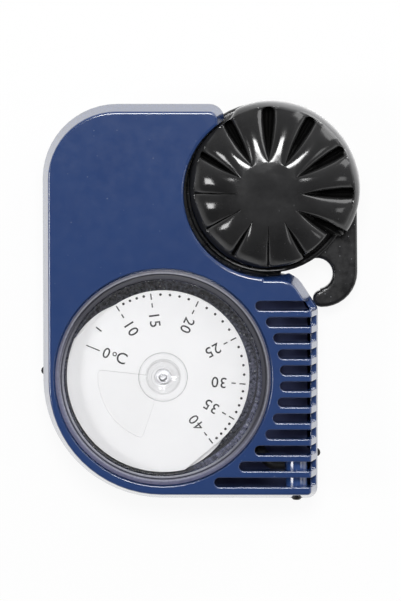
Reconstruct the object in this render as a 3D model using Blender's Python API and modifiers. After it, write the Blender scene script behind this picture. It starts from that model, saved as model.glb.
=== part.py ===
"""Antifreeze tester, lying on its back: blue moulded case, round dial with a swinging float, squeeze bulb.

Metres, +Z up. X runs across the case and Y along it, toward the bulb. The drawing's zero is the lower left
corner of the case on the back plane. DATUM moves the whole tester so that X = Y = 0 is the middle of its
outline, and the back rests on Z = 0.
"""

from math import atan2, ceil, cos, pi, radians, sin, sqrt, tan

import bmesh
import bpy
from mathutils import Vector

MM = 0.001

# Clearances and cuts
GAP = 0.3 * MM
CUT_OVERRUN = 1.0 * MM
UNION_OVERLAP = 0.25 * MM
ARC_SAG = 0.05 * MM
SAG_DIVISOR = 8.0
LEAST_CORNER = 0.6 * MM
WELD = 0.003 * MM
TURN_WELD = 0.00001
QUARTER = 90.0

# Case
CASE_DEPTH = 28.0 * MM
FRONT_DEPTH = 10.0 * MM
WALL = 2.0 * MM
FRONT_FLARE = 2.4 * MM
REAR_DRAFT = 2.4 * MM
EDGE_ROUND = 0.5 * MM
EDGE_STEP_SHARE = 0.3
LOW_LEFT_WALL = 1.3 * MM
TOP_LEFT_ROUND = 25.5 * MM
LOW_RIGHT_ROUND = 3.6 * MM
RIGHT_ROUND = 3.6 * MM
SHOULDER_ROUND = 9.0 * MM
SHOULDER_SETBACK = 8.24 * MM
SHOULDER_DROP = 12.36 * MM
SHOULDER_RISE = 1.47 * MM
TIP_ROUND = 5.1 * MM
TIP_SHARE = 0.52
GRIP_WIDTH = 12.95 * MM

# Jaw that holds the bulb, placed by the line from the dial's centre to its own
JAW_RADIUS = 28.7 * MM
JAW_EDGE = 0.85 * MM
JAW_WALL = 1.8 * MM
JAW_LINE = 60.37
JAW_MARGIN = 2.17 * MM
JAW_TOP_MARGIN = 1.17 * MM
JAW_SKIRT_RISE = 3.1 * MM

# Dial, from the rebate in the face inward
DIAL_REBATE = 37.2 * MM
DIAL_REBATE_DEPTH = 1.7 * MM
DIAL_LEDGE = 1.2 * MM
DIAL_SIDE_MARGIN = 1.65 * MM
DIAL_FOOT_MARGIN = 2.9 * MM
COLLAR_WALL = 2.3 * MM
COLLAR_RISE = 2.0 * MM
WINDOW_SEAT_MARGIN = 0.6 * MM
WINDOW_PROUD = 0.1 * MM
SEAL_WIDTH = 1.2 * MM
SKIRT_WALL = 0.9 * MM
BOSS_RADIUS = 2.9 * MM
BOSS_DROP = 0.6 * MM
BOSS_HOLE_DEPTH = 1.3 * MM
NUB_RADIUS = 1.46 * MM
NUB_PROUD = 0.4 * MM

# Float chamber
CHAMBER_FOOT_Z = 6.6 * MM
CHAMBER_RIM_RISE = 1.0 * MM
CHAMBER_WALL = 1.6 * MM
CHAMBER_FLOOR = 1.6 * MM
CHAMBER_BOSS_RADIUS = 2.6 * MM
CHAMBER_BOSS_DROP = 6.3 * MM
CHAMBER_POST_RADIUS = 1.5 * MM
CHAMBER_POST_SHARE = 0.667
CHAMBER_POST_ANGLES = (20.0, 140.0, 260.0)
INLET_PORT_ANGLE = -38.0
INLET_PORT_DROP = 3.6 * MM
OUTLET_PORT_RISE = 1.5 * MM
SPIGOT_RADIUS = 1.4 * MM
SPIGOT_BORE = 0.8 * MM
SPIGOT_LENGTH = 3.0 * MM

# Plates, float and pivot
BACKING_RISE = 2.3 * MM
BACKING_THICKNESS = 1.0 * MM
SCALE_THICKNESS = 1.0 * MM
SCALE_SHARE = 0.894
PLATE_AXIS = 220.0
BACKING_SHARES = ((95.0, 0.893), (86.0, 0.93), (75.0, 0.965), (68.0, 0.985), (60.0, 1.0))
WASHER_RADIUS = 2.4 * MM
WASHER_THICKNESS = 0.4 * MM
VANE_SHARE = 0.676
VANE_EYE = 6.0 * MM
VANE_THICKNESS = 1.0 * MM
VANE_START = 174.0
VANE_END = 251.0
VANE_CORNER = 1.2 * MM
HUB_RADIUS = 8.4 * MM
HUB_STEP_RADIUS = 5.4 * MM
HUB_STEP = 0.35 * MM
HUB_THICKNESS = 0.8 * MM
PIN_RADIUS = 0.75 * MM

# Grip slots, spread over the arc of the dial's collar
SLOT_COUNT = 12
SLOT_TOP_SHARE = 0.6173
SLOT_FOOT_SHARE = 0.8987
SLOT_OPEN_SHARE = 0.6144
SLOT_FLOOR_RISE = 2.2 * MM
GRIP_FOOT_RISE = 0.4 * MM
GRIP_MARGIN = 1.6 * MM

# Inner frame and its snap lugs
FRAME_DROP = 8.6 * MM
FRAME_THICKNESS = 2.2 * MM
FRAME_END_MARGIN = 8.4 * MM
LUG_WIDTH = 2.7 * MM
LUG_HEIGHT = 1.8 * MM
LUG_PROUD = 1.1 * MM
LEFT_LUG_RISE = 0.7 * MM
RIGHT_LUG_Y = 14.9 * MM
FRAME_POST_RADIUS = 2.2 * MM
FRAME_POST_INSET = 7.0 * MM

# Inlet
PIPE_INSET = 7.2 * MM
PIPE_RISE = 2.1 * MM
PIPE_RADIUS = 3.7 * MM
PIPE_END_Y = 15.2 * MM
PIPE_ROUND = 1.0 * MM
PIPE_END_WALL = 1.6 * MM
PIPE_SPIGOT_INSET = 3.4 * MM
PIPE_SPIGOT_DROP = 2.4 * MM
NOZZLE_RADIUS = 1.7 * MM
NOZZLE_BORE = 0.9 * MM
NOZZLE_PROUD = 1.3 * MM
NOZZLE_DEPTH = 7.0 * MM
HOSE_RADIUS = 2.2 * MM
HOSE_BEND = 2.6 * MM
HOSE_POINTS = 9

# Bulb plate with its hook
PLATE_Z = 7.2 * MM
PLATE_THICKNESS = 5.0 * MM
PLATE_LIP = 1.66 * MM
PLATE_EDGE = 0.8 * MM
PLATE_GAP_INSET = 0.6 * MM
PLATE_GAP_START = 277.0
PLATE_GAP_STEP = 2.6
HOOK_LINE = -56.38
HOOK_REACH = 3.18 * MM
HOOK_RADIUS = 12.1 * MM
EYE_LINE = -59.4
EYE_REACH = 2.78 * MM
EYE_RADIUS = 5.35 * MM
EYE_START = 97.0
EYE_END = -78.0
HOOK_TIP_RADIUS = 2.9 * MM
HOOK_TIP_ANGLE = 268.5
HOOK_TIP_START = 100.0
PLATE_SPIGOT_RADIUS = 3.0 * MM
PLATE_SPIGOT_RISE = 2.0 * MM
PLATE_SPIGOT_BORE = 1.2 * MM

# Bulb and its clamp ring
BULB_SPREAD = 0.37 * MM
BULB_SHIFT_X = 2.2 * MM
BULB_SHIFT_Y = 2.3 * MM
BULB_HEIGHT = 20.5 * MM
BULB_FLANGE_INSET = 0.9 * MM
BULB_FLANGE = 0.9 * MM
BULB_NECK_INSET = 3.5 * MM
BULB_MOUTH_INSET = 5.3 * MM
BULB_CROWN_SHARE = 0.37
BULB_CROWN_WALL = 8.4 * MM
RING_INSET = 0.7 * MM
RING_MARGIN = 1.0 * MM
RING_THICKNESS = 1.2 * MM
FLUTES = 12
FLUTE_WIDTH = 3.4 * MM
FLUTE_DEPTH = 4.6 * MM
FLUTE_END_MARGIN = 1.87 * MM
# Height over the flange as a share of the bulb's height, radius as a share, shift as a share
BULB_SHARES = (
    (0.17, 0.965, 1.0),
    (0.23, 1.0, 1.0),
    (0.56, 1.0, 1.0),
    (0.69, 0.972, 1.0),
    (0.79, 0.905, 0.9),
    (0.885, 0.775, 0.6),
    (0.95, 0.6, 0.3),
    (0.985, 0.43, 0.1),
)
BULB_CAVITY_SHARES = ((0.0, 1.0), (0.3, 1.0), (0.52, 0.9), (0.8, 0.66), (1.0, 0.38))
FLUTE_OPENING_SHARE = 0.45
# Angles about the jaw between which its wall holds the bulb in, and the turn that this takes
JAW_GRIP_ANGLES = (110.0, 295.0)
JAW_GRIP_BLEND = 9.0

# Cover screws
SCREW_RADIUS = 1.2 * MM
SCREW_HEAD_RADIUS = 2.9 * MM
SCREW_HEAD = 1.8 * MM
CROSS_REACH = 1.5 * MM
CROSS_WIDTH = 0.9 * MM
CROSS_DEPTH = 1.0 * MM
SCREW_LENGTH = 12.0 * MM
SCREW_RECESS_DEPTH = 5.5 * MM
SCREW_BOSS_RADIUS = 3.4 * MM
SCREW_SEAT = 1.8 * MM
SCREW_TUBE_WALL = 1.6 * MM
TOP_LEFT_SCREW_X = 17.8 * MM
TOP_LEFT_SCREW_DROP = 19.0 * MM
TOP_RIGHT_SCREW_INSET = 16.1 * MM
TOP_RIGHT_SCREW_DROP = 11.0 * MM
SIDE_SCREW_X = 11.5 * MM
SIDE_SCREW_RISE = 2.1 * MM

# Chamber seat in the rear cover
SEAT_SHARE = 0.76
SEAT_WALL = 2.0 * MM


def polar(angle, radius):
    return Vector((cos(angle), sin(angle))) * radius


# Places worked out from the sizes above
PARTING_Z = CASE_DEPTH - FRONT_DEPTH
DIAL_BORE = DIAL_REBATE - DIAL_LEDGE
COLLAR_RADIUS = DIAL_REBATE + COLLAR_WALL
COLLAR_Z = PARTING_Z + COLLAR_RISE
SKIRT_RADIUS = DIAL_BORE - SEAL_WIDTH - 2 * GAP
DIAL = Vector((COLLAR_RADIUS + DIAL_SIDE_MARGIN, COLLAR_RADIUS + DIAL_FOOT_MARGIN))
JAW = DIAL + polar(radians(JAW_LINE), COLLAR_RADIUS + JAW_MARGIN + JAW_WALL + JAW_RADIUS)
SLOT_ARC = COLLAR_RADIUS + GAP
SLOT_FIRST_Y = DIAL.y + SLOT_ARC * SLOT_TOP_SHARE
SLOT_PITCH = SLOT_ARC * (SLOT_TOP_SHARE + SLOT_FOOT_SHARE) / (SLOT_COUNT - 1)
SLOT_HEIGHT = SLOT_PITCH * SLOT_OPEN_SHARE
SLOT_FLOOR_Z = PARTING_Z + SLOT_FLOOR_RISE
CASE_WIDTH = DIAL.x + SLOT_ARC + GRIP_WIDTH
CASE_LENGTH = JAW.y + JAW_RADIUS + JAW_TOP_MARGIN
LOW_LEFT_ROUND = COLLAR_RADIUS + LOW_LEFT_WALL
SHOULDER_Y = JAW.y - JAW_RADIUS + SHOULDER_RISE
TIP_X = JAW.x - JAW_RADIUS * TIP_SHARE
WINDOW_TOP = CASE_DEPTH + WINDOW_PROUD
WINDOW_FOOT = CASE_DEPTH - DIAL_REBATE_DEPTH + GAP
WINDOW_RADIUS = DIAL_REBATE - WINDOW_SEAT_MARGIN
SKIRT_INNER = SKIRT_RADIUS - SKIRT_WALL
PLATE_LIMIT = SKIRT_INNER - GAP
SCALE_RADIUS = PLATE_LIMIT * SCALE_SHARE
VANE_RADIUS = PLATE_LIMIT * VANE_SHARE
BACKING_Z = PARTING_Z + BACKING_RISE
SCALE_Z = BACKING_Z + BACKING_THICKNESS + GAP
WASHER_Z = SCALE_Z + SCALE_THICKNESS + GAP
VANE_Z = WASHER_Z + WASHER_THICKNESS + GAP
HUB_Z = VANE_Z + VANE_THICKNESS + GAP
PIN_HOLE = PIN_RADIUS + GAP
CHAMBER_RIM_Z = PARTING_Z + CHAMBER_RIM_RISE
CHAMBER_FLOOR_Z = CHAMBER_FOOT_Z + CHAMBER_FLOOR
CHAMBER_BOSS_Z = BACKING_Z - CHAMBER_BOSS_DROP
CHAMBER_POST_CIRCLE = PLATE_LIMIT * CHAMBER_POST_SHARE
INLET_PORT_Z = PARTING_Z - INLET_PORT_DROP
OUTLET_PORT_Z = CHAMBER_FLOOR_Z + OUTLET_PORT_RISE
PIN_FOOT_Z = CHAMBER_FLOOR_Z + GAP
HOSE_BORE = SPIGOT_RADIUS + GAP
FRAME_Z = PARTING_Z - FRAME_DROP
PIPE_X = CASE_WIDTH - PIPE_INSET
PIPE_Z = PARTING_Z + PIPE_RISE
FRAME_TOP_Y = SHOULDER_Y - FRAME_END_MARGIN
LEFT_LUG_Y = DIAL.y + LEFT_LUG_RISE
PLATE_RADIUS = JAW_RADIUS + PLATE_LIP
PLATE_GAP_RADIUS = JAW_RADIUS - PLATE_GAP_INSET
PLATE_TOP_Z = PLATE_Z + PLATE_THICKNESS
JAW_SKIRT_Z = PLATE_TOP_Z + JAW_SKIRT_RISE
HOOK = JAW + polar(radians(HOOK_LINE), PLATE_RADIUS + HOOK_REACH)
EYE = JAW + polar(radians(EYE_LINE), PLATE_RADIUS + EYE_REACH)
BULB_RADIUS = JAW_RADIUS + BULB_SPREAD
BULB_SHIFT = Vector((BULB_SHIFT_X, BULB_SHIFT_Y))
BULB_FLANGE_RADIUS = JAW_RADIUS - BULB_FLANGE_INSET
BULB_NECK_RADIUS = JAW_RADIUS - BULB_NECK_INSET
BULB_MOUTH_RADIUS = JAW_RADIUS - BULB_MOUTH_INSET
BULB_CROWN_RADIUS = BULB_RADIUS * BULB_CROWN_SHARE
BULB_Z = PLATE_TOP_Z + GAP
BULB_TOP_Z = BULB_Z + BULB_HEIGHT
RING_RADIUS = JAW_RADIUS - RING_INSET
RING_BORE = BULB_NECK_RADIUS + RING_MARGIN
RING_Z = BULB_Z + BULB_FLANGE + GAP
SEAT_RADIUS = SKIRT_RADIUS * SEAT_SHARE
DATUM = Vector(
    (
        (LUG_PROUD - JAW.x - BULB_SHIFT_X - BULB_RADIUS) / 2,
        (NOZZLE_PROUD - JAW.y - BULB_SHIFT_Y - BULB_RADIUS) / 2,
        0,
    )
)
SCREW_SEATS = {
    "cover_screw_top_left": Vector((TOP_LEFT_SCREW_X, CASE_LENGTH - TOP_LEFT_SCREW_DROP)),
    "cover_screw_top_right": Vector((TIP_X - TOP_RIGHT_SCREW_INSET, CASE_LENGTH - TOP_RIGHT_SCREW_DROP)),
    "cover_screw_side": Vector((SIDE_SCREW_X, DIAL.y + COLLAR_RADIUS + SIDE_SCREW_RISE)),
}

for old in list(bpy.data.objects):
    bpy.data.objects.remove(old, do_unlink=True)

TESTER = bpy.data.collections.new("antifreeze_tester")
CUTTERS = bpy.data.collections.new("cutters")
bpy.context.scene.collection.children.link(TESTER)
bpy.context.scene.collection.children.link(CUTTERS)


def material(name, colour, roughness, metallic=0.0, alpha=1.0):
    made = bpy.data.materials.new(name)
    made.use_nodes = True
    shader = made.node_tree.nodes["Principled BSDF"]
    shader.inputs["Base Color"].default_value = (*colour, 1.0)
    shader.inputs["Roughness"].default_value = roughness
    shader.inputs["Metallic"].default_value = metallic
    shader.inputs["Alpha"].default_value = alpha
    made.diffuse_color = (*colour, alpha)
    return made


BLUE = material("blue_case", (0.025, 0.055, 0.19), 0.28)
BLUE_PIPE = material("blue_pipe", (0.03, 0.08, 0.25), 0.2)
BLACK = material("black_plastic", (0.012, 0.012, 0.013), 0.4)
CHAMBER = material("chamber_plastic", (0.03, 0.032, 0.036), 0.5)
RUBBER = material("bulb_rubber", (0.01, 0.01, 0.01), 0.3)
SEALING = material("seal_rubber", (0.012, 0.012, 0.012), 0.6)
HOSE = material("hose_rubber", (0.014, 0.014, 0.014), 0.5)
CLEAR = material("clear_plastic", (0.95, 0.97, 0.98), 0.05, 0.0, 0.25)
WHITE = material("scale_white", (0.86, 0.86, 0.86), 0.45)
OFF_WHITE = material("backing_white", (0.78, 0.78, 0.79), 0.5)
FLOAT = material("float_plastic", (0.82, 0.83, 0.84), 0.35)
STEEL = material("steel", (0.6, 0.6, 0.62), 0.3, 1.0)


def place(name, mesh, at=(0, 0, 0), finish=None):
    """Object of the tester, or a cutter where no finish is given, at a place in the drawing."""
    obj = bpy.data.objects.new(name, mesh)
    obj.location = DATUM + Vector(at)
    if finish is None:
        CUTTERS.objects.link(obj)
        obj.hide_render = True
        obj.display_type = "WIRE"
    else:
        TESTER.objects.link(obj)
        mesh.materials.append(finish)
    return obj


def boolean(target, other, operation="DIFFERENCE"):
    step = target.modifiers.new(other.name, "BOOLEAN")
    step.operation = operation
    step.object = other
    step.solver = "EXACT"


def smooth(obj, angle=35.0):
    obj.data.shade_smooth()
    obj.data.set_sharp_from_angle(angle=radians(angle))


def facets(radius, turn=2 * pi):
    """Segments that keep an arc within ARC_SAG of its circle: a chord of turn t sags by r t t / 8."""
    return max(3, ceil(turn * sqrt(radius / ARC_SAG / SAG_DIVISOR)))


def round_facets(radius):
    return 4 * max(3, ceil(facets(radius) / 4))


def arc(centre, radius, start, end, steps=None):
    """Points on an arc between two angles in degrees, both ends included."""
    a = radians(start)
    b = radians(end)
    count = steps or facets(radius, abs(b - a))
    return [centre + polar(a + (b - a) * k / count, radius) for k in range(count + 1)]


def circle(centre, radius, count=None):
    count = count or round_facets(radius)
    return [centre + polar(2 * pi * k / count, radius) for k in range(count)]


def rounded(corners, inset):
    """Closed path through corners (x, y, radius), moved in by inset, each corner rounded."""
    points = []
    for index, (x, y, radius) in enumerate(corners):
        here = Vector((x, y))
        ahead = corners[(index + 1) % len(corners)]
        before = (here - Vector(corners[index - 1][:2])).normalized()
        after = (Vector(ahead[:2]) - here).normalized()
        side = Vector((-before.y, before.x))
        next_side = Vector((-after.y, after.x))
        corner = here + (side + next_side) * inset / (1 + side.dot(next_side))
        if radius == 0:
            points.append(corner)
            continue
        way = 1 if before.x * after.y - before.y * after.x > 0 else -1
        turn = before.angle(after)
        bend = max(radius - way * inset, LEAST_CORNER)
        centre = corner - before * bend * tan(turn / 2) + side * way * bend
        start = atan2(-way * side.y, -way * side.x)
        count = facets(radius, turn)
        points += [centre + polar(start + way * turn * k / count, bend) for k in range(count + 1)]
    return points


def shrunk(points, inset):
    """A closed counter-clockwise path moved in by a small inset, point for point."""
    moved = []
    for index, here in enumerate(points):
        before = (here - points[index - 1]).normalized()
        after = (points[(index + 1) % len(points)] - here).normalized()
        side = Vector((-before.y, before.x))
        next_side = Vector((-after.y, after.x))
        moved.append(here + (side + next_side) * inset / (1 + side.dot(next_side)))
    return moved


def loft(name, sections, at=(0, 0, 0), finish=None):
    """Closed solid through sections (z, points), bottom to top, each with as many points."""
    mesh = bpy.data.meshes.new(name)
    bm = bmesh.new()
    rings = [[bm.verts.new((p.x, p.y, z)) for p in points] for z, points in sections]
    for low, high in zip(rings, rings[1:]):
        for k in range(len(low)):
            bm.faces.new((low[k - 1], low[k], high[k], high[k - 1]))
    bm.faces.new(reversed(rings[0]))
    bm.faces.new(rings[-1])
    bmesh.ops.recalc_face_normals(bm, faces=bm.faces)
    bm.to_mesh(mesh)
    bm.free()
    return place(name, mesh, at, finish)


def turned(name, profile, at, finish=None, ring=False, turn=(0, 0, 0)):
    """Solid turned about its own Z through (radius, z) points that run down the outer side."""
    mesh = bpy.data.meshes.new(name)
    mesh.from_pydata(
        [(r, 0, z) for r, z in profile],
        [(k, k + 1) for k in range(len(profile) - 1)] + ([(len(profile) - 1, 0)] if ring else []),
        [],
    )
    obj = place(name, mesh, at, finish)
    obj.rotation_euler = turn
    screw = obj.modifiers.new("turn", "SCREW")
    screw.steps = round_facets(max(r for r, z in profile))
    screw.render_steps = screw.steps
    screw.use_merge_vertices = True
    screw.merge_threshold = TURN_WELD
    screw.use_smooth_shade = False
    return obj


def bar(name, radius, length, at, finish=None, turn=(0, 0, 0)):
    """Round bar from a place along its own Z."""
    mesh = bpy.data.meshes.new(name)
    bm = bmesh.new()
    bmesh.ops.create_cone(
        bm,
        cap_ends=True,
        segments=round_facets(radius),
        radius1=radius,
        radius2=radius,
        depth=length,
    )
    bmesh.ops.translate(bm, verts=bm.verts, vec=(0, 0, length / 2))
    bm.to_mesh(mesh)
    bm.free()
    obj = place(name, mesh, at, finish)
    obj.rotation_euler = turn
    return obj


def rod(name, radius, low, high, centre, finish=None):
    """Upright round bar between two heights."""
    return bar(name, radius, high - low, (*centre, low), finish)


def lying(name, radius, start, end, finish=None, bore=0):
    """Round bar, or tube where it has a bore, between two points in space."""
    way = end - start
    turn = way.to_track_quat("Z", "Y").to_euler()
    if not bore:
        return bar(name, radius, way.length, start, finish, turn)
    profile = [(radius, way.length), (radius, 0), (bore, 0), (bore, way.length)]
    return turned(name, profile, start, finish, True, turn)


def block(name, low, high, finish=None):
    """Box between two opposite corners."""
    mesh = bpy.data.meshes.new(name)
    bm = bmesh.new()
    bmesh.ops.create_cube(bm, size=1)
    size = Vector(high) - Vector(low)
    middle = (Vector(high) + Vector(low)) / 2
    for vert in bm.verts:
        vert.co = middle + Vector(a * b for a, b in zip(vert.co, size))
    bm.to_mesh(mesh)
    bm.free()
    return place(name, mesh, (0, 0, 0), finish)


def solid_of(obj):
    """Turns an object with live modifiers, or a curve, into a plain welded mesh object."""
    graph = bpy.context.evaluated_depsgraph_get()
    graph.update()
    mesh = bpy.data.meshes.new_from_object(obj.evaluated_get(graph))
    bm = bmesh.new()
    bm.from_mesh(mesh)
    bmesh.ops.remove_doubles(bm, verts=bm.verts, dist=WELD)
    bmesh.ops.recalc_face_normals(bm, faces=bm.faces)
    bm.to_mesh(mesh)
    bm.free()
    fresh = bpy.data.objects.new(obj.name, mesh)
    for home in obj.users_collection:
        home.objects.link(fresh)
    fresh.matrix_world = obj.matrix_world.copy()
    fresh.hide_render = obj.hide_render
    fresh.display_type = obj.display_type
    name = obj.name
    bpy.data.objects.remove(obj, do_unlink=True)
    fresh.name = name
    return fresh


# Case outline at the parting plane, counter-clockwise from the lower left corner
CASE_CORNERS = (
    (0, 0, LOW_LEFT_ROUND),
    (CASE_WIDTH, 0, LOW_RIGHT_ROUND),
    (CASE_WIDTH, SHOULDER_Y - SHOULDER_DROP, RIGHT_ROUND),
    (CASE_WIDTH - SHOULDER_SETBACK, SHOULDER_Y, SHOULDER_ROUND),
    (JAW.x, SHOULDER_Y, 0),
    (TIP_X, JAW.y, 0),
    (TIP_X, CASE_LENGTH, TIP_ROUND),
    (0, CASE_LENGTH, TOP_LEFT_ROUND),
)


def front_inset(z):
    return FRONT_FLARE * (z - PARTING_Z) / (CASE_DEPTH - PARTING_Z)


def rear_inset(z):
    return REAR_DRAFT * (PARTING_Z - z) / PARTING_Z


def case_section(z, inset):
    return z, rounded(CASE_CORNERS, inset)


def jaw_cutter(name):
    """Cylinder of the jaw, opening out in a small round at the face."""
    top = CASE_DEPTH + CUT_OVERRUN
    knee = CASE_DEPTH - JAW_EDGE
    step = JAW_EDGE * EDGE_STEP_SHARE
    return turned(
        name,
        [
            (0, top),
            (JAW_RADIUS + JAW_EDGE, top),
            (JAW_RADIUS + JAW_EDGE, CASE_DEPTH),
            (JAW_RADIUS + step, CASE_DEPTH - step),
            (JAW_RADIUS, knee),
            (JAW_RADIUS, -CUT_OVERRUN),
            (0, -CUT_OVERRUN),
        ],
        (*JAW, 0),
    )


# Front cover
front_foot = PARTING_Z + GAP / 2
face_inside = CASE_DEPTH - WALL
edge_step = EDGE_ROUND * EDGE_STEP_SHARE
front_cover = loft(
    "front_cover",
    [
        case_section(front_foot, front_inset(front_foot)),
        case_section(CASE_DEPTH - EDGE_ROUND, front_inset(CASE_DEPTH - EDGE_ROUND)),
        case_section(CASE_DEPTH - edge_step, FRONT_FLARE + edge_step),
        case_section(CASE_DEPTH, FRONT_FLARE + EDGE_ROUND),
    ],
    finish=BLUE,
)
grip_foot = SLOT_FLOOR_Z + GRIP_FOOT_RISE
slot_last_y = SLOT_FIRST_Y - SLOT_PITCH * (SLOT_COUNT - 1)
front_cavity = loft(
    "front_cavity",
    [
        case_section(PARTING_Z - CUT_OVERRUN, WALL),
        case_section(PARTING_Z, WALL),
        case_section(face_inside, front_inset(face_inside) + WALL),
    ],
)
boolean(
    front_cavity,
    rod("keep_jaw", JAW_RADIUS + JAW_WALL, -CUT_OVERRUN, CASE_DEPTH + CUT_OVERRUN, JAW),
)
boolean(front_cavity, rod("keep_collar", COLLAR_RADIUS, COLLAR_Z, CASE_DEPTH + CUT_OVERRUN, DIAL))
boolean(
    front_cavity,
    block(
        "keep_grip",
        (DIAL.x, slot_last_y - SLOT_PITCH, grip_foot),
        (CASE_WIDTH + CUT_OVERRUN, SLOT_FIRST_Y + SLOT_HEIGHT / 2 + GRIP_MARGIN, CASE_DEPTH + CUT_OVERRUN),
    ),
)
boolean(front_cover, front_cavity)

jaw_skirt = turned(
    "jaw_skirt",
    [
        (JAW_RADIUS + JAW_WALL - UNION_OVERLAP, face_inside),
        (JAW_RADIUS + JAW_WALL - UNION_OVERLAP, JAW_SKIRT_Z),
        (JAW_RADIUS - CUT_OVERRUN, JAW_SKIRT_Z),
        (JAW_RADIUS - CUT_OVERRUN, face_inside),
    ],
    (*JAW, 0),
    ring=True,
)
boolean(
    jaw_skirt,
    loft(
        "skirt_bounds",
        [
            case_section(JAW_SKIRT_Z - CUT_OVERRUN, WALL + 2 * GAP),
            case_section(PARTING_Z + WALL, WALL + 2 * GAP),
        ],
    ),
    "INTERSECT",
)
boolean(front_cover, jaw_skirt, "UNION")
tube_top_z = SCREW_RECESS_DEPTH + SCREW_SEAT
for screw_name, seat in SCREW_SEATS.items():
    boss = rod("boss_" + screw_name, SCREW_BOSS_RADIUS, tube_top_z + GAP, face_inside + WALL / 2, seat)
    boolean(front_cover, boss, "UNION")
for screw_name, seat in SCREW_SEATS.items():
    pilot_top = SCREW_RECESS_DEPTH + SCREW_LENGTH + CUT_OVERRUN
    boolean(front_cover, rod("pilot_" + screw_name, SCREW_RADIUS + GAP, 0, pilot_top, seat))

boolean(front_cover, jaw_cutter("jaw_cut"))
window_cut = turned(
    "window_cut",
    [
        (0, CASE_DEPTH + CUT_OVERRUN),
        (DIAL_REBATE, CASE_DEPTH + CUT_OVERRUN),
        (DIAL_REBATE, CASE_DEPTH - DIAL_REBATE_DEPTH),
        (DIAL_BORE, CASE_DEPTH - DIAL_REBATE_DEPTH),
        (DIAL_BORE, PARTING_Z),
        (0, PARTING_Z),
    ],
    (*DIAL, 0),
)
boolean(front_cover, window_cut)
for index in range(SLOT_COUNT):
    slot_y = SLOT_FIRST_Y - SLOT_PITCH * index
    slot_left = DIAL.x + sqrt(SLOT_ARC**2 - (slot_y - DIAL.y) ** 2)
    slot_half = SLOT_HEIGHT / 2
    slot_path = arc(Vector((slot_left + slot_half, slot_y)), slot_half, QUARTER, 3 * QUARTER)
    slot_path += [
        Vector((CASE_WIDTH + CUT_OVERRUN, slot_y - slot_half)),
        Vector((CASE_WIDTH + CUT_OVERRUN, slot_y + slot_half)),
    ]
    slot = loft(f"slot_{index + 1}", [(SLOT_FLOOR_Z, slot_path), (CASE_DEPTH + CUT_OVERRUN, slot_path)])
    boolean(front_cover, slot)

pipe_axis = Vector((PIPE_X, 0, PIPE_Z))
pipe_foot_y = front_inset(PIPE_Z + PIPE_RADIUS) + WALL + GAP
pipe_room = lying(
    "pipe_room",
    PIPE_RADIUS + GAP,
    pipe_axis + Vector((0, pipe_foot_y - GAP / 2, 0)),
    pipe_axis + Vector((0, PIPE_END_Y + 2 * GAP, 0)),
)
boolean(front_cover, pipe_room)
nozzle_room = NOZZLE_RADIUS + GAP
boolean(
    front_cover,
    lying(
        "nozzle_room",
        nozzle_room,
        pipe_axis - Vector((0, CUT_OVERRUN, 0)),
        pipe_axis + Vector((0, pipe_foot_y + CUT_OVERRUN, 0)),
    ),
)
boolean(
    front_cover,
    block(
        "nozzle_notch",
        (PIPE_X - nozzle_room, -CUT_OVERRUN, PARTING_Z - CUT_OVERRUN),
        (PIPE_X + nozzle_room, pipe_foot_y + CUT_OVERRUN, PIPE_Z),
    ),
)
smooth(front_cover)

# Rear cover
rear_top = PARTING_Z - GAP / 2
rear_cover = loft(
    "rear_cover",
    [
        case_section(0, REAR_DRAFT + EDGE_ROUND),
        case_section(edge_step, REAR_DRAFT + edge_step),
        case_section(EDGE_ROUND, rear_inset(EDGE_ROUND)),
        case_section(rear_top, rear_inset(rear_top)),
    ],
    finish=BLUE,
)
rear_cavity = loft(
    "rear_cavity",
    [
        case_section(WALL, rear_inset(WALL) + WALL),
        case_section(PARTING_Z, WALL),
        case_section(PARTING_Z + CUT_OVERRUN, WALL),
    ],
)
boolean(
    rear_cavity,
    rod("keep_rear_jaw", JAW_RADIUS + JAW_WALL, -CUT_OVERRUN, PARTING_Z + 2 * CUT_OVERRUN, JAW),
)
boolean(rear_cover, rear_cavity)
recess_radius = SCREW_HEAD_RADIUS + GAP
for screw_name, seat in SCREW_SEATS.items():
    tube = rod("tube_" + screw_name, recess_radius + SCREW_TUBE_WALL, WALL / 2, tube_top_z, seat)
    boolean(rear_cover, tube, "UNION")
seat_top = CHAMBER_FOOT_Z - GAP
boolean(
    rear_cover,
    turned(
        "chamber_seat",
        [
            (SEAT_RADIUS, seat_top),
            (SEAT_RADIUS, WALL / 2),
            (SEAT_RADIUS - SEAT_WALL, WALL / 2),
            (SEAT_RADIUS - SEAT_WALL, seat_top),
        ],
        (*DIAL, 0),
        ring=True,
    ),
    "UNION",
)
POST_SEATS = (
    Vector((CASE_WIDTH - FRAME_POST_INSET, FRAME_TOP_Y - FRAME_POST_INSET)),
    Vector((CASE_WIDTH - FRAME_POST_INSET, FRAME_POST_INSET)),
)
for index, post in enumerate(POST_SEATS):
    frame_post = rod(f"frame_post_{index + 1}", FRAME_POST_RADIUS, WALL / 2, FRAME_Z - GAP, post)
    boolean(rear_cover, frame_post, "UNION")
for screw_name, seat in SCREW_SEATS.items():
    recess = turned(
        "recess_" + screw_name,
        [
            (0, PARTING_Z),
            (SCREW_RADIUS + GAP, PARTING_Z),
            (SCREW_RADIUS + GAP, SCREW_RECESS_DEPTH),
            (recess_radius, SCREW_RECESS_DEPTH),
            (recess_radius, -CUT_OVERRUN),
            (0, -CUT_OVERRUN),
        ],
        (*seat, 0),
    )
    boolean(rear_cover, recess)
boolean(rear_cover, jaw_cutter("rear_jaw_cut"))
boolean(
    rear_cover,
    rod("plate_room", PLATE_RADIUS + GAP, PLATE_Z - GAP, PARTING_Z + CUT_OVERRUN, JAW),
)
lug_half = LUG_WIDTH / 2
lug_room = lug_half + GAP
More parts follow.
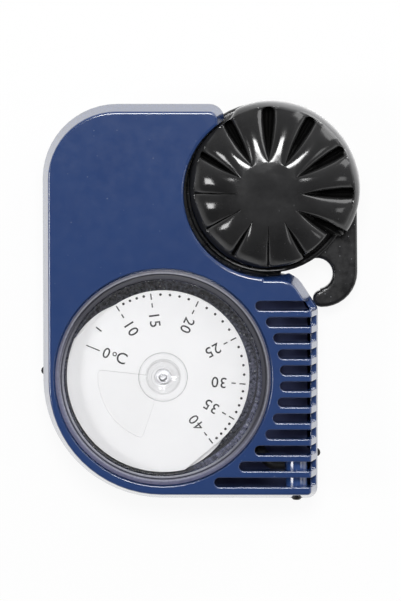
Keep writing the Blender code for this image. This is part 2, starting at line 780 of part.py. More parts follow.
for name, low_x, high_x, lug_y in (
    ("left_lug_room", -CUT_OVERRUN, REAR_DRAFT + 2 * WALL, LEFT_LUG_Y),
    ("right_lug_room", CASE_WIDTH - REAR_DRAFT - 2 * WALL, CASE_WIDTH + CUT_OVERRUN, RIGHT_LUG_Y),
):
    window = block(
        name,
        (low_x, lug_y - lug_room, FRAME_Z - GAP),
        (high_x, lug_y + lug_room, FRAME_Z + FRAME_THICKNESS + GAP),
    )
    boolean(rear_cover, window)
smooth(rear_cover)

# Cover screws, heads down in the recesses of the back
for screw_name, seat in SCREW_SEATS.items():
    head_top = SCREW_RECESS_DEPTH - GAP
    screw = turned(
        screw_name,
        [
            (0, head_top + SCREW_LENGTH),
            (SCREW_RADIUS, head_top + SCREW_LENGTH),
            (SCREW_RADIUS, head_top),
            (SCREW_HEAD_RADIUS, head_top),
            (SCREW_HEAD_RADIUS, head_top - SCREW_HEAD / 2),
            (SCREW_HEAD_RADIUS - SCREW_HEAD / 2, head_top - SCREW_HEAD),
            (0, head_top - SCREW_HEAD),
        ],
        (*seat, 0),
        STEEL,
    )
    cross_foot = head_top - SCREW_HEAD - CUT_OVERRUN
    cross_top = head_top - SCREW_HEAD + CROSS_DEPTH
    for arm, (wide, tall) in enumerate(((CROSS_REACH, CROSS_WIDTH / 2), (CROSS_WIDTH / 2, CROSS_REACH))):
        low = (seat.x - wide, seat.y - tall, cross_foot)
        high = (seat.x + wide, seat.y + tall, cross_top)
        boolean(screw, block(f"cross_{arm + 1}_{screw_name}", low, high))
    smooth(screw)

# Window and its seal
dial_window = turned(
    "dial_window",
    [
        (0, WINDOW_TOP + NUB_PROUD),
        (NUB_RADIUS, WINDOW_TOP + NUB_PROUD),
        (NUB_RADIUS, WINDOW_TOP),
        (WINDOW_RADIUS, WINDOW_TOP),
        (WINDOW_RADIUS, WINDOW_FOOT),
        (SKIRT_RADIUS, WINDOW_FOOT),
        (SKIRT_RADIUS, CHAMBER_RIM_Z + GAP),
        (SKIRT_INNER, CHAMBER_RIM_Z + GAP),
        (SKIRT_INNER, WINDOW_FOOT),
        (BOSS_RADIUS, WINDOW_FOOT),
        (BOSS_RADIUS, WINDOW_FOOT - BOSS_DROP),
        (PIN_HOLE, WINDOW_FOOT - BOSS_DROP),
        (PIN_HOLE, WINDOW_FOOT - BOSS_DROP + BOSS_HOLE_DEPTH),
        (0, WINDOW_FOOT - BOSS_DROP + BOSS_HOLE_DEPTH),
    ],
    (*DIAL, 0),
    CLEAR,
)
smooth(dial_window)
window_seal = turned(
    "window_seal",
    [
        (DIAL_BORE - GAP, WINDOW_FOOT - GAP),
        (DIAL_BORE - GAP, COLLAR_Z),
        (SKIRT_RADIUS + GAP, COLLAR_Z),
        (SKIRT_RADIUS + GAP, WINDOW_FOOT - GAP),
    ],
    (*DIAL, 0),
    SEALING,
    ring=True,
)
smooth(window_seal)

# Float chamber
chamber_inner = SKIRT_RADIUS - CHAMBER_WALL
chamber_cup = turned(
    "chamber_cup",
    [
        (0, PIN_FOOT_Z - GAP),
        (PIN_HOLE, PIN_FOOT_Z - GAP),
        (PIN_HOLE, CHAMBER_BOSS_Z),
        (CHAMBER_BOSS_RADIUS, CHAMBER_BOSS_Z),
        (CHAMBER_BOSS_RADIUS, CHAMBER_FLOOR_Z),
        (chamber_inner, CHAMBER_FLOOR_Z),
        (chamber_inner, CHAMBER_RIM_Z),
        (SKIRT_RADIUS, CHAMBER_RIM_Z),
        (SKIRT_RADIUS, CHAMBER_FOOT_Z),
        (0, CHAMBER_FOOT_Z),
    ],
    (*DIAL, 0),
    CHAMBER,
)
line_angle = atan2(JAW.y - DIAL.y, JAW.x - DIAL.x)
PORTS = (
    ("inlet", radians(INLET_PORT_ANGLE), INLET_PORT_Z),
    ("outlet", line_angle, OUTLET_PORT_Z),
)
for port, angle, z in PORTS:
    root = DIAL + polar(angle, SKIRT_RADIUS - CHAMBER_WALL / 2)
    mouth = DIAL + polar(angle, SKIRT_RADIUS + SPIGOT_LENGTH)
    spigot = lying(port + "_spigot", SPIGOT_RADIUS, Vector((*root, z)), Vector((*mouth, z)))
    boolean(chamber_cup, spigot, "UNION")
for port, angle, z in PORTS:
    root = DIAL + polar(angle, chamber_inner - CUT_OVERRUN)
    mouth = DIAL + polar(angle, SKIRT_RADIUS + SPIGOT_LENGTH + CUT_OVERRUN)
    bore = lying(port + "_bore", SPIGOT_BORE, Vector((*root, z)), Vector((*mouth, z)))
    boolean(chamber_cup, bore)
for index, angle in enumerate(CHAMBER_POST_ANGLES):
    foot = DIAL + polar(radians(angle), CHAMBER_POST_CIRCLE)
    post_foot_z = CHAMBER_FLOOR_Z - CHAMBER_FLOOR / 2
    post = rod(f"plate_post_{index + 1}", CHAMBER_POST_RADIUS, post_foot_z, BACKING_Z - GAP, foot)
    boolean(chamber_cup, post, "UNION")
smooth(chamber_cup)


def dial_plate(name, radius_at, low, high, finish):
    """Plate about the dial's centre whose edge is a radius at each angle from the plate's axis."""
    count = 2 * round_facets(PLATE_LIMIT)
    path = []
    for k in range(count):
        angle = 2 * pi * k / count
        path.append(polar(angle + radians(PLATE_AXIS), radius_at(min(angle, 2 * pi - angle))))
    plate = loft(name, [(low, path), (high, path)], (*DIAL, 0), finish)
    boolean(plate, rod(name + "_pin_hole", PIN_HOLE, low - CUT_OVERRUN, high + CUT_OVERRUN, DIAL))
    smooth(plate)
    return plate


def scale_edge(angle):
    """Half round away from the axis, straight sides along it, and the window's skirt as limit."""
    if angle >= pi / 2:
        return SCALE_RADIUS
    if sin(angle) * PLATE_LIMIT <= SCALE_RADIUS:
        return PLATE_LIMIT
    return SCALE_RADIUS / sin(angle)


def backing_edge(angle):
    """Round edge that widens from the scale plate's round to the window's skirt."""
    turned_by = angle * 180 / pi
    if turned_by >= BACKING_SHARES[0][0]:
        return PLATE_LIMIT * BACKING_SHARES[0][1]
    for (wide, low), (narrow, high) in zip(BACKING_SHARES, BACKING_SHARES[1:]):
        if turned_by >= narrow:
            return PLATE_LIMIT * (low + (high - low) * (wide - turned_by) / (wide - narrow))
    return PLATE_LIMIT


backing_plate = dial_plate(
    "backing_plate", backing_edge, BACKING_Z, BACKING_Z + BACKING_THICKNESS, OFF_WHITE
)
scale_plate = dial_plate("scale_plate", scale_edge, SCALE_Z, SCALE_Z + SCALE_THICKNESS, WHITE)

# Pivot and float
pivot_pin = rod("pivot_pin", PIN_RADIUS, PIN_FOOT_Z, WINDOW_FOOT - GAP + BOSS_DROP, DIAL, STEEL)
smooth(pivot_pin)
pivot_washer = turned(
    "pivot_washer",
    [
        (WASHER_RADIUS, WASHER_Z + WASHER_THICKNESS),
        (WASHER_RADIUS, WASHER_Z),
        (PIN_HOLE, WASHER_Z),
        (PIN_HOLE, WASHER_Z + WASHER_THICKNESS),
    ],
    (*DIAL, 0),
    STEEL,
    ring=True,
)
smooth(pivot_washer)

float_axis = bpy.data.objects.new("float_axis", None)
float_axis.location = DATUM + Vector((*DIAL, 0))
TESTER.objects.link(float_axis)
corner_turn = VANE_CORNER / VANE_RADIUS * 180 / pi
zero = Vector((0, 0))
vane_path = arc(zero, VANE_EYE, VANE_END, VANE_START + 360.0)
vane_path += arc(
    polar(radians(VANE_START + corner_turn), VANE_RADIUS - VANE_CORNER),
    VANE_CORNER,
    VANE_START - QUARTER + corner_turn,
    VANE_START + corner_turn,
)
vane_path += arc(
    zero, VANE_RADIUS, VANE_START + 2 * corner_turn, VANE_END - 2 * corner_turn
)
vane_path += arc(
    polar(radians(VANE_END - corner_turn), VANE_RADIUS - VANE_CORNER),
    VANE_CORNER,
    VANE_END - corner_turn,
    VANE_END + QUARTER - corner_turn,
)
float_vane = loft(
    "float_vane", [(VANE_Z, vane_path), (VANE_Z + VANE_THICKNESS, vane_path)], finish=FLOAT
)
boolean(
    float_vane,
    rod("vane_hole", PIN_HOLE, VANE_Z - CUT_OVERRUN, VANE_Z + VANE_THICKNESS + CUT_OVERRUN, DIAL),
)
smooth(float_vane)
float_hub = turned(
    "float_hub",
    [
        (HUB_STEP_RADIUS, HUB_Z + HUB_THICKNESS),
        (HUB_STEP_RADIUS, HUB_Z + HUB_STEP),
        (HUB_RADIUS, HUB_Z + HUB_STEP),
        (HUB_RADIUS, HUB_Z),
        (PIN_HOLE, HUB_Z),
        (PIN_HOLE, HUB_Z + HUB_THICKNESS),
    ],
    (0, 0, 0),
    CLEAR,
    ring=True,
)
smooth(float_hub)
for piece in (float_vane, float_hub):
    piece.parent = float_axis
    piece.location = (0, 0, 0)

# Inner frame: floor plate of the grip, round the chamber, with a snap lug at each side wall
frame_top = FRAME_Z + FRAME_THICKNESS
frame_inset = rear_inset(FRAME_Z) + WALL + GAP
frame_corners = rounded(CASE_CORNERS, frame_inset)
inner_frame = loft("inner_frame", [(FRAME_Z, frame_corners), (frame_top, frame_corners)], finish=BLACK)
boolean(
    inner_frame,
    block(
        "frame_end",
        (-CUT_OVERRUN, FRAME_TOP_Y, FRAME_Z - CUT_OVERRUN),
        (CASE_WIDTH + CUT_OVERRUN, CASE_LENGTH + CUT_OVERRUN, frame_top + CUT_OVERRUN),
    ),
)
lug_low_z = FRAME_Z + (FRAME_THICKNESS - LUG_HEIGHT) / 2
left_root_x = frame_inset + WALL / 2
right_root_x = CASE_WIDTH - left_root_x
left_lug = arc(Vector((lug_half - LUG_PROUD, LEFT_LUG_Y)), lug_half, QUARTER, 3 * QUARTER)
left_lug += [
    Vector((left_root_x, LEFT_LUG_Y - lug_half)),
    Vector((left_root_x, LEFT_LUG_Y + lug_half)),
]
right_lug = arc(
    Vector((CASE_WIDTH - lug_half + LUG_PROUD, RIGHT_LUG_Y)), lug_half, -QUARTER, QUARTER
)
right_lug += [
    Vector((right_root_x, RIGHT_LUG_Y + lug_half)),
    Vector((right_root_x, RIGHT_LUG_Y - lug_half)),
]
for name, path in (("left_lug", left_lug), ("right_lug", right_lug)):
    lug = loft(name, [(lug_low_z, path), (lug_low_z + LUG_HEIGHT, path)])
    boolean(inner_frame, lug, "UNION")
boolean(
    inner_frame,
    rod("chamber_room", SKIRT_RADIUS + GAP, FRAME_Z - CUT_OVERRUN, frame_top + CUT_OVERRUN, DIAL),
)
smooth(inner_frame)

# Inlet: nozzle, pipe and hose to the chamber
pipe_length = PIPE_END_Y - pipe_foot_y
socket = NOZZLE_RADIUS + GAP
nozzle_end = pipe_foot_y + NOZZLE_DEPTH
inlet_pipe = turned(
    "inlet_pipe",
    [
        (0, pipe_length),
        (PIPE_RADIUS - PIPE_ROUND, pipe_length),
        (PIPE_RADIUS - PIPE_ROUND * EDGE_STEP_SHARE, pipe_length - PIPE_ROUND * EDGE_STEP_SHARE),
        (PIPE_RADIUS, pipe_length - PIPE_ROUND),
        (PIPE_RADIUS, 0),
        (socket, 0),
        (socket, pipe_length - PIPE_END_WALL),
        (0, pipe_length - PIPE_END_WALL),
    ],
    pipe_axis + Vector((0, pipe_foot_y, 0)),
    BLUE_PIPE,
    turn=(-pi / 2, 0, 0),
)
spigot_y = PIPE_END_Y - PIPE_SPIGOT_INSET
spigot_z = PIPE_Z - PIPE_SPIGOT_DROP
spigot_side = sqrt(PIPE_RADIUS**2 - PIPE_SPIGOT_DROP**2)
spigot_mouth_x = PIPE_X - PIPE_RADIUS - SPIGOT_LENGTH
boolean(
    inlet_pipe,
    lying(
        "pipe_spigot",
        SPIGOT_RADIUS,
        Vector((PIPE_X - spigot_side + CUT_OVERRUN / 2, spigot_y, spigot_z)),
        Vector((spigot_mouth_x, spigot_y, spigot_z)),
    ),
    "UNION",
)
boolean(
    inlet_pipe,
    lying(
        "pipe_spigot_bore",
        SPIGOT_BORE,
        Vector((PIPE_X, spigot_y, spigot_z)),
        Vector((spigot_mouth_x - CUT_OVERRUN, spigot_y, spigot_z)),
    ),
)
smooth(inlet_pipe)
inlet_nozzle = lying(
    "inlet_nozzle",
    NOZZLE_RADIUS,
    pipe_axis - Vector((0, NOZZLE_PROUD, 0)),
    pipe_axis + Vector((0, nozzle_end, 0)),
    BLACK,
    NOZZLE_BORE,
)
smooth(inlet_nozzle)


def hose(name, radius, overrun, finish=None):
    """Round hose between the pipe's spigot and the chamber's inlet spigot."""
    port_way = polar(radians(INLET_PORT_ANGLE), 1)
    start = Vector((PIPE_X - PIPE_RADIUS - GAP, spigot_y, spigot_z))
    end = Vector((*(DIAL + port_way * (SKIRT_RADIUS + GAP)), INLET_PORT_Z))
    leave = Vector((-1, 0, 0))
    arrive = Vector((*port_way, 0))
    bend_start = start + leave * SPIGOT_LENGTH
    bend_end = end + arrive * SPIGOT_LENGTH
    first = bend_start + leave * HOSE_BEND
    second = bend_end + arrive * HOSE_BEND
    points = [start - leave * overrun]
    for k in range(HOSE_POINTS):
        t = k / (HOSE_POINTS - 1)
        u = 1 - t
        points.append(bend_start * u**3 + first * 3 * u * u * t + second * 3 * u * t * t + bend_end * t**3)
    points.append(end - arrive * overrun)
    data = bpy.data.curves.new(name, "CURVE")
    data.dimensions = "3D"
    data.bevel_depth = radius
    data.bevel_resolution = 2
    data.use_fill_caps = True
    spline = data.splines.new("POLY")
    spline.points.add(len(points) - 1)
    for target, point in zip(spline.points, points):
        target.co = (*point, 1)
    return solid_of(place(name, data, (0, 0, 0), finish))


inlet_hose = hose("inlet_hose", HOSE_RADIUS, 0, HOSE)
boolean(inlet_hose, hose("hose_bore", HOSE_BORE, CUT_OVERRUN))
smooth(inlet_hose)

# Transfer tube on the line from the chamber to the bulb plate
line_way = Vector((*polar(line_angle, 1), 0))
line_start = Vector((*DIAL, OUTLET_PORT_Z))
line_end = Vector((*JAW, OUTLET_PORT_Z))
tube_start = line_start + line_way * (SKIRT_RADIUS + GAP)
tube_end = line_end - line_way * (PLATE_RADIUS + GAP)
transfer_tube = lying("transfer_tube", HOSE_RADIUS, tube_start, tube_end, HOSE, HOSE_BORE)
smooth(transfer_tube)

# Bulb plate: round plate with a hook at its lower right
hook_tip = HOOK + polar(radians(HOOK_TIP_ANGLE), HOOK_RADIUS - HOOK_TIP_RADIUS)
gap_end = EYE + polar(radians(EYE_START), EYE_RADIUS)
gap_end_angle = atan2(gap_end.y - JAW.y, gap_end.x - JAW.x) * 180 / pi + 360.0
plate_path = arc(HOOK, HOOK_RADIUS, HOOK_TIP_ANGLE - 360.0, 0.0)[1:]
plate_path += arc(JAW, PLATE_RADIUS, 0.0, PLATE_GAP_START)
plate_path += arc(JAW, PLATE_GAP_RADIUS, PLATE_GAP_START + PLATE_GAP_STEP, gap_end_angle - PLATE_GAP_STEP)
plate_path += arc(EYE, EYE_RADIUS, EYE_START, EYE_END)
plate_path += arc(hook_tip, HOOK_TIP_RADIUS, HOOK_TIP_START, HOOK_TIP_ANGLE)
plate_step = PLATE_EDGE * EDGE_STEP_SHARE
bulb_base = loft(
    "bulb_base",
    [
        (PLATE_Z, shrunk(plate_path, PLATE_EDGE)),
        (PLATE_Z + plate_step, shrunk(plate_path, plate_step)),
        (PLATE_Z + PLATE_EDGE, plate_path),
        (PLATE_TOP_Z - PLATE_EDGE, plate_path),
        (PLATE_TOP_Z - plate_step, shrunk(plate_path, plate_step)),
        (PLATE_TOP_Z, shrunk(plate_path, PLATE_EDGE)),
    ],
    finish=BLACK,
)
plate_port = line_end - line_way * (PLATE_RADIUS + SPIGOT_LENGTH)
boolean(
    bulb_base,
    rod("plate_spigot", PLATE_SPIGOT_RADIUS, OUTLET_PORT_Z, PLATE_TOP_Z + PLATE_SPIGOT_RISE, JAW),
    "UNION",
)
boolean(
    bulb_base,
    lying("plate_port", SPIGOT_RADIUS, plate_port, line_end - line_way * (PLATE_RADIUS - CUT_OVERRUN)),
    "UNION",
)
boolean(
    bulb_base,
    lying("plate_port_bore", SPIGOT_BORE, plate_port - line_way * CUT_OVERRUN, line_end),
)
boolean(
    bulb_base,
    rod("plate_spigot_bore", PLATE_SPIGOT_BORE, OUTLET_PORT_Z, BULB_TOP_Z, JAW),
)
smooth(bulb_base)

# Clamp ring over the bulb's flange
bulb_clamp_ring = turned(
    "bulb_clamp_ring",
    [
        (RING_RADIUS, RING_Z + RING_THICKNESS),
        (RING_RADIUS, RING_Z),
        (RING_BORE, RING_Z),
        (RING_BORE, RING_Z + RING_THICKNESS),
    ],
    (*JAW, 0),
    BLACK,
    ring=True,
)
smooth(bulb_clamp_ring)

# Squeeze bulb: lofted through round sections that move off the jaw's centre, then fluted
bulb_axis = bpy.data.objects.new("bulb_axis", None)
bulb_axis.location = DATUM + Vector((*JAW, BULB_Z))
TESTER.objects.link(bulb_axis)
bulb_count = round_facets(BULB_RADIUS)
bulb_limit = JAW_RADIUS - 2 * GAP


def bulb_ring(wide, shift):
    """Round section whose centre is moved off the jaw's, held in by the jaw's wall where that stands."""
    points = []
    for k in range(bulb_count):
        angle = 2 * pi * k / bulb_count
        along = (BULB_SHIFT * shift).dot(polar(angle, 1))
        reach = along + sqrt(along**2 - (BULB_SHIFT * shift).length_squared + (BULB_RADIUS * wide) ** 2)
        start, end = (radians(a) for a in JAW_GRIP_ANGLES)
        held = min(1, max(0, (angle - start) / radians(JAW_GRIP_BLEND)))
        held *= min(1, max(0, (end - angle) / radians(JAW_GRIP_BLEND)))
        held = held * held * (3 - 2 * held)
        points.append(polar(angle, reach + (min(reach, bulb_limit) - reach) * held))
    return points


sections = [
    (0, circle(zero, BULB_FLANGE_RADIUS, bulb_count)),
    (BULB_FLANGE, circle(zero, BULB_FLANGE_RADIUS, bulb_count)),
    (BULB_FLANGE, circle(zero, BULB_NECK_RADIUS, bulb_count)),
    (BULB_FLANGE + 2 * GAP + RING_THICKNESS, circle(zero, BULB_NECK_RADIUS, bulb_count)),
]
for height, wide, shift in BULB_SHARES:
    sections.append((height * BULB_HEIGHT, bulb_ring(wide, shift)))
sections.append((BULB_HEIGHT, circle(zero, BULB_CROWN_RADIUS, bulb_count)))
squeeze_bulb = loft("squeeze_bulb", sections, finish=RUBBER)
cavity_height = BULB_HEIGHT - BULB_CROWN_WALL
cavity_sections = [(-CUT_OVERRUN, circle(zero, BULB_MOUTH_RADIUS, bulb_count))]
for height, wide in BULB_CAVITY_SHARES:
    cavity_sections.append((height * cavity_height, circle(zero, BULB_MOUTH_RADIUS * wide, bulb_count)))
bulb_cavity = loft("bulb_cavity", cavity_sections, (*JAW, BULB_Z))
boolean(squeeze_bulb, bulb_cavity)


def bulb_height_at(reach):
    """Height of the bulb's dome at a share of the way from crown edge to drum."""
    knots = [(0.0, 1.0)]
    knots += [((wide * BULB_RADIUS - BULB_CROWN_RADIUS) / (BULB_RADIUS - BULB_CROWN_RADIUS), height)
              for height, wide, shift in reversed(BULB_SHARES[2:])]
    for (near, high), (far, low) in zip(knots, knots[1:]):
        if reach <= far:
            return BULB_HEIGHT * (high + (low - high) * (reach - near) / (far - near))
    return BULB_HEIGHT * knots[-1][1]


for index in range(FLUTES):
    angle = 2 * pi * index / FLUTES
    way = polar(angle, 1)
    across = Vector((-way.y, way.x))
    # Reach of the flute's end: circle inside the drum, seen from the crown's centre
    flute_circle = BULB_RADIUS - FLUTE_END_MARGIN
    along = BULB_SHIFT.dot(way)
    end_reach = along + sqrt(along**2 - BULB_SHIFT.dot(BULB_SHIFT) + flute_circle**2)
    half = FLUTE_WIDTH / 2
    open_reach = BULB_CROWN_RADIUS + (end_reach - BULB_CROWN_RADIUS) * FLUTE_OPENING_SHARE
    tip_reach = BULB_CROWN_RADIUS + LEAST_CORNER
    path = [way * tip_reach, way * open_reach - across * half]
    path += [
        way * (end_reach - half) + way * half * cos(t) + across * half * sin(t)
        for t in (-pi / 2, -pi / 4, 0, pi / 4, pi / 2)
    ]
    path += [way * open_reach + across * half]
    mesh = bpy.data.meshes.new(f"flute_{index + 1}")
    bm = bmesh.new()
    top_ring = [bm.verts.new((p.x, p.y, BULB_HEIGHT + CUT_OVERRUN)) for p in path]
    low_ring = []
    for p in path:
        reach = min(1, (p.length - BULB_CROWN_RADIUS) / (end_reach - BULB_CROWN_RADIUS))
        depth = FLUTE_DEPTH * min(1, reach / FLUTE_OPENING_SHARE) + GAP
        low_ring.append(bm.verts.new((p.x, p.y, bulb_height_at(reach) - depth)))
    for k in range(len(path)):
        bm.faces.new((low_ring[k - 1], low_ring[k], top_ring[k], top_ring[k - 1]))
    floor = bm.faces.new(reversed(low_ring))
    bm.faces.new(top_ring)
    bmesh.ops.triangulate(bm, faces=[floor])
    bmesh.ops.recalc_face_normals(bm, faces=bm.faces)
    bm.to_mesh(mesh)
    bm.free()
    boolean(squeeze_bulb, place(mesh.name, mesh, (*JAW, BULB_Z)))
squeeze_bulb.parent = bulb_axis
squeeze_bulb.location = (0, 0, 0)
smooth(squeeze_bulb)
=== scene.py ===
# %% [markdown]
# # Antifreeze tester
#
# The CAD model already gives every rigid piece its real size. This script dresses it: plain renders of CAD
# solids look dead, so each surface gets a finish worked out with shader nodes, and the soft or finely shaped
# pieces (the fluted rubber bulb, the clear window, the printed scale) are made again as smooth surfaces.

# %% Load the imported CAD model
import math

import bmesh
import bpy
import numpy as np
from mathutils import Matrix, Vector


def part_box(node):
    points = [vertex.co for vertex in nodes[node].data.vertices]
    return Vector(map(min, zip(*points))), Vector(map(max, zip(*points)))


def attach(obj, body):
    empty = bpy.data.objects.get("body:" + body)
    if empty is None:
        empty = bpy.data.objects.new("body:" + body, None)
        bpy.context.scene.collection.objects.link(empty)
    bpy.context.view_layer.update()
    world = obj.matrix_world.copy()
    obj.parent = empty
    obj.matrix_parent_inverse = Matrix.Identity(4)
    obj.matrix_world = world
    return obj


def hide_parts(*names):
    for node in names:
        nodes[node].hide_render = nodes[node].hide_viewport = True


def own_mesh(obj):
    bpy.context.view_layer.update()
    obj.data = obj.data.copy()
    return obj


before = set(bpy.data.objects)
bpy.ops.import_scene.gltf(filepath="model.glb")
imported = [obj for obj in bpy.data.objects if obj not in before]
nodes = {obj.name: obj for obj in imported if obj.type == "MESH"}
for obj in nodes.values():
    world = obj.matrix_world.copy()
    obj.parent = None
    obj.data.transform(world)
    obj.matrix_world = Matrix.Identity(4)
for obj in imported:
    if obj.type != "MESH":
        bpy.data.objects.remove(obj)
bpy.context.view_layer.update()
MM = 0.001

# %% [markdown]
# ## Camera
#
# The photograph was taken from almost straight above the dial, a little from the bulb's end. A long lens far
# away keeps the case's sides nearly parallel, as they are there. The camera's axes are worked out from its
# direction, so no object has to be tracked.

# %% Camera over the dial
TARGET = np.array([0.3, 0.3, 18.0]) * MM
CAMERA_DISTANCE = 1300 * MM
TILT = math.radians(4.9)
TURN = math.radians(0.7)
PIXEL_SIZE = 0.3415 * MM
PICTURE_HEIGHT = 601
SENSOR = 24.0

back = np.array([math.sin(TURN) * math.cos(TILT), math.sin(TILT), math.cos(TURN) * math.cos(TILT)])
right = np.cross((0.0, 1.0, 0.0), back)
right /= np.linalg.norm(right)
up = np.cross(back, right)
lens = bpy.data.cameras.new("camera")
lens.sensor_fit = "VERTICAL"
lens.sensor_height = SENSOR
lens.lens = SENSOR * CAMERA_DISTANCE / (PICTURE_HEIGHT * PIXEL_SIZE)
lens.clip_start = 0.01
camera = bpy.data.objects.new("camera", lens)
camera.matrix_world = Matrix.Translation(Vector(TARGET + back * CAMERA_DISTANCE)) @ Matrix(
    np.column_stack((right, up, back)).tolist()
).to_4x4()
bpy.context.scene.collection.objects.link(camera)
bpy.context.scene.camera = camera
bpy.context.scene.view_settings.view_transform = "Standard"
print("focal length", round(lens.lens, 1), "mm")

# %% [markdown]
# ## Shader helpers
#
# Every finish below is a small tree of nodes. `add` makes one node and wires it in the same call: an input
# may be a number, a colour or another node's output, so a tree reads from top to bottom like a recipe.
# `calc`, `place_sum` and `place_measure` do sums on numbers and on places.


# %% Small helpers for node trees
def add(tree, kind, inputs=None, **settings):
    """One shader node, its settings and its inputs; an input that is a socket gets a link."""
    made = tree.nodes.new("ShaderNode" + kind)
    for key, value in settings.items():
        setattr(made, key, value)
    for key, value in (inputs or {}).items():
        if isinstance(value, bpy.types.NodeSocket):
            tree.links.new(value, made.inputs[key])
        else:
            made.inputs[key].default_value = value
    return made


def calc(tree, operation, *values):
    """One sum on one or two numbers."""
    return add(tree, "Math", dict(enumerate(values)), operation=operation).outputs[0]


def place_sum(tree, operation, *values):
    """One sum on one or two places, which gives a place."""
    return add(tree, "VectorMath", dict(enumerate(values)), operation=operation).outputs[0]


def place_measure(tree, operation, *values):
    """A length, distance or dot product of places, which gives a number."""
    return add(tree, "VectorMath", dict(enumerate(values)), operation=operation).outputs["Value"]


def new_finish(name, roughness=0.4, **sockets):
    """A material; returns it with its node tree and its Principled shader."""
    finish = bpy.data.materials.new(name)
    finish.use_nodes = True
    shader = finish.node_tree.nodes["Principled BSDF"]
    shader.inputs["Roughness"].default_value = roughness
    for key, value in sockets.items():
        shader.inputs[key.replace("_", " ")].default_value = value
    return finish, finish.node_tree, shader


def feed(shader, **sockets):
    """Links values to a shader's inputs; a name has an underscore for each space."""
    for key, value in sockets.items():
        shader.id_data.links.new(value, shader.inputs[key.replace("_", " ")])


def colour(red, green, blue):
    return (red, green, blue, 1.0)


def place_in(tree):
    """Object coordinates: a node's mesh is in metres in the tester's own frame."""
    return add(tree, "TexCoord").outputs["Object"]


def noise(tree, where, scale, detail=2.0, roughness=0.5):
    inputs = {"Vector": where, "Scale": scale, "Detail": detail, "Roughness": roughness}
    return add(tree, "TexNoise", inputs).outputs["Fac"]


def ramp(tree, value, low, high, to_low=0.0, to_high=1.0):
    """Value stretched from low-high to to_low-to_high, and held at the ends."""
    inputs = {"Value": value, "From Min": low, "From Max": high, "To Min": to_low, "To Max": to_high}
    return add(tree, "MapRange", inputs).outputs["Result"]


def mix(tree, share, first, second):
    """Colour between two colours. The Mix node's colour sockets are its inputs 6 and 7 and its output 2."""
    return add(tree, "Mix", {0: share, 6: first, 7: second}, data_type="RGBA").outputs[2]


# %% [markdown]
# ## Studio
#
# The photograph is a catalogue shot: white ground, light from all round and a darker patch of sky above,
# which keeps the blue face deep and saturated. The sky here is a gradient over height, bright at the horizon
# and dim at the top, and dimmer on the side away from the bulb. The camera itself sees plain white.

# %% Sky
SKY_TOP = 0.1
SKY_MIDDLE = 0.3
SKY_SIDE = 1.5
SKY_BACK = 0.22
SKY_FRONT = 1.5
SKY_FRONT_WAY = (0.55, 0.83, 0.0)
world = bpy.data.worlds.new("studio")
world.use_nodes = True
bpy.context.scene.world = world
sky = world.node_tree
sky.nodes.clear()
way = add(sky, "TexCoord").outputs["Generated"]
height = add(sky, "SeparateXYZ", {0: way}).outputs["Z"]
toward = place_measure(sky, "DOT_PRODUCT", way, SKY_FRONT_WAY)
low_sky = ramp(sky, height, 0.03, 0.3, SKY_SIDE - SKY_MIDDLE, 0.0)
high_sky = ramp(sky, height, 0.3, 0.9, SKY_MIDDLE, SKY_TOP)
turned_sky = calc(sky, "MULTIPLY", high_sky, ramp(sky, toward, -0.7, 0.7, SKY_BACK, SKY_FRONT))
strength = calc(sky, "ADD", low_sky, turned_sky)
path = add(sky, "LightPath").outputs
lit = add(sky, "Background", {"Color": colour(1, 1, 1), "Strength": strength})
seen = add(sky, "Background", {"Color": colour(1, 1, 1), "Strength": 1.0})
through = calc(sky, "MAXIMUM", path["Is Camera Ray"], path["Is Transmission Ray"])
both = add(sky, "MixShader", {0: through, 1: lit.outputs[0], 2: seen.outputs[0]})
add(sky, "OutputWorld", {"Surface": both.outputs[0]})
print("sky strength", SKY_TOP, "to", SKY_SIDE)

# %% [markdown]
# The tester lies on a pale, lit floor. It has some white light of its own that only the camera, mirrors and
# clear pieces see, so it comes out white and still shows the shadow.

# %% Floor
FLOOR_HALF = 1.5
FLOOR_GLOW = 0.92
FLOOR_TONE = 0.86
floor_finish, tree, floor_shader = new_finish("floor_white", 0.9, Specular_IOR_Level=0.0)
floor_shader.inputs["Base Color"].default_value = colour(FLOOR_TONE, FLOOR_TONE, FLOOR_TONE)
path = add(tree, "LightPath").outputs
seen = calc(tree, "MAXIMUM", path["Is Camera Ray"], path["Is Glossy Ray"])
seen = calc(tree, "MAXIMUM", seen, path["Is Transmission Ray"])
share = calc(tree, "MULTIPLY", seen, FLOOR_GLOW)
white = add(tree, "Emission", {"Color": colour(1, 1, 1), "Strength": 1.0}).outputs[0]
both = add(tree, "MixShader", {0: share, 1: floor_shader.outputs[0], 2: white}).outputs[0]
tree.links.new(both, tree.nodes["Material Output"].inputs["Surface"])
corners = [(x * FLOOR_HALF, y * FLOOR_HALF, 0) for x, y in ((-1, -1), (1, -1), (1, 1), (-1, 1))]
floor_mesh = bpy.data.meshes.new("floor")
floor_mesh.from_pydata(corners, [], [(0, 1, 2, 3)])
floor_mesh.materials.append(floor_finish)
floor = bpy.data.objects.new("floor", floor_mesh)
bpy.context.scene.collection.objects.link(floor)
print("floor", 2 * FLOOR_HALF, "m wide")

# %% [markdown]
# Four area lamps stand for soft boxes and give the rubber its streaks: a key high above, one from the left, a
# low one from beyond the bulb and a faint one from the right.

# %% Lamps
LAMP_AIM = Vector((0.0, 0.0, 0.02))


def soft_lamp(name, at, size, power):
    """Rectangular area lamp at a place, turned toward the tester."""
    data = bpy.data.lights.new(name, "AREA")
    data.shape = "RECTANGLE"
    data.size, data.size_y = size
    data.energy = power
    lamp = bpy.data.objects.new(name, data)
    lamp.location = at
    lamp.rotation_euler = (LAMP_AIM - Vector(at)).to_track_quat("-Z", "Y").to_euler()
    bpy.context.scene.collection.objects.link(lamp)


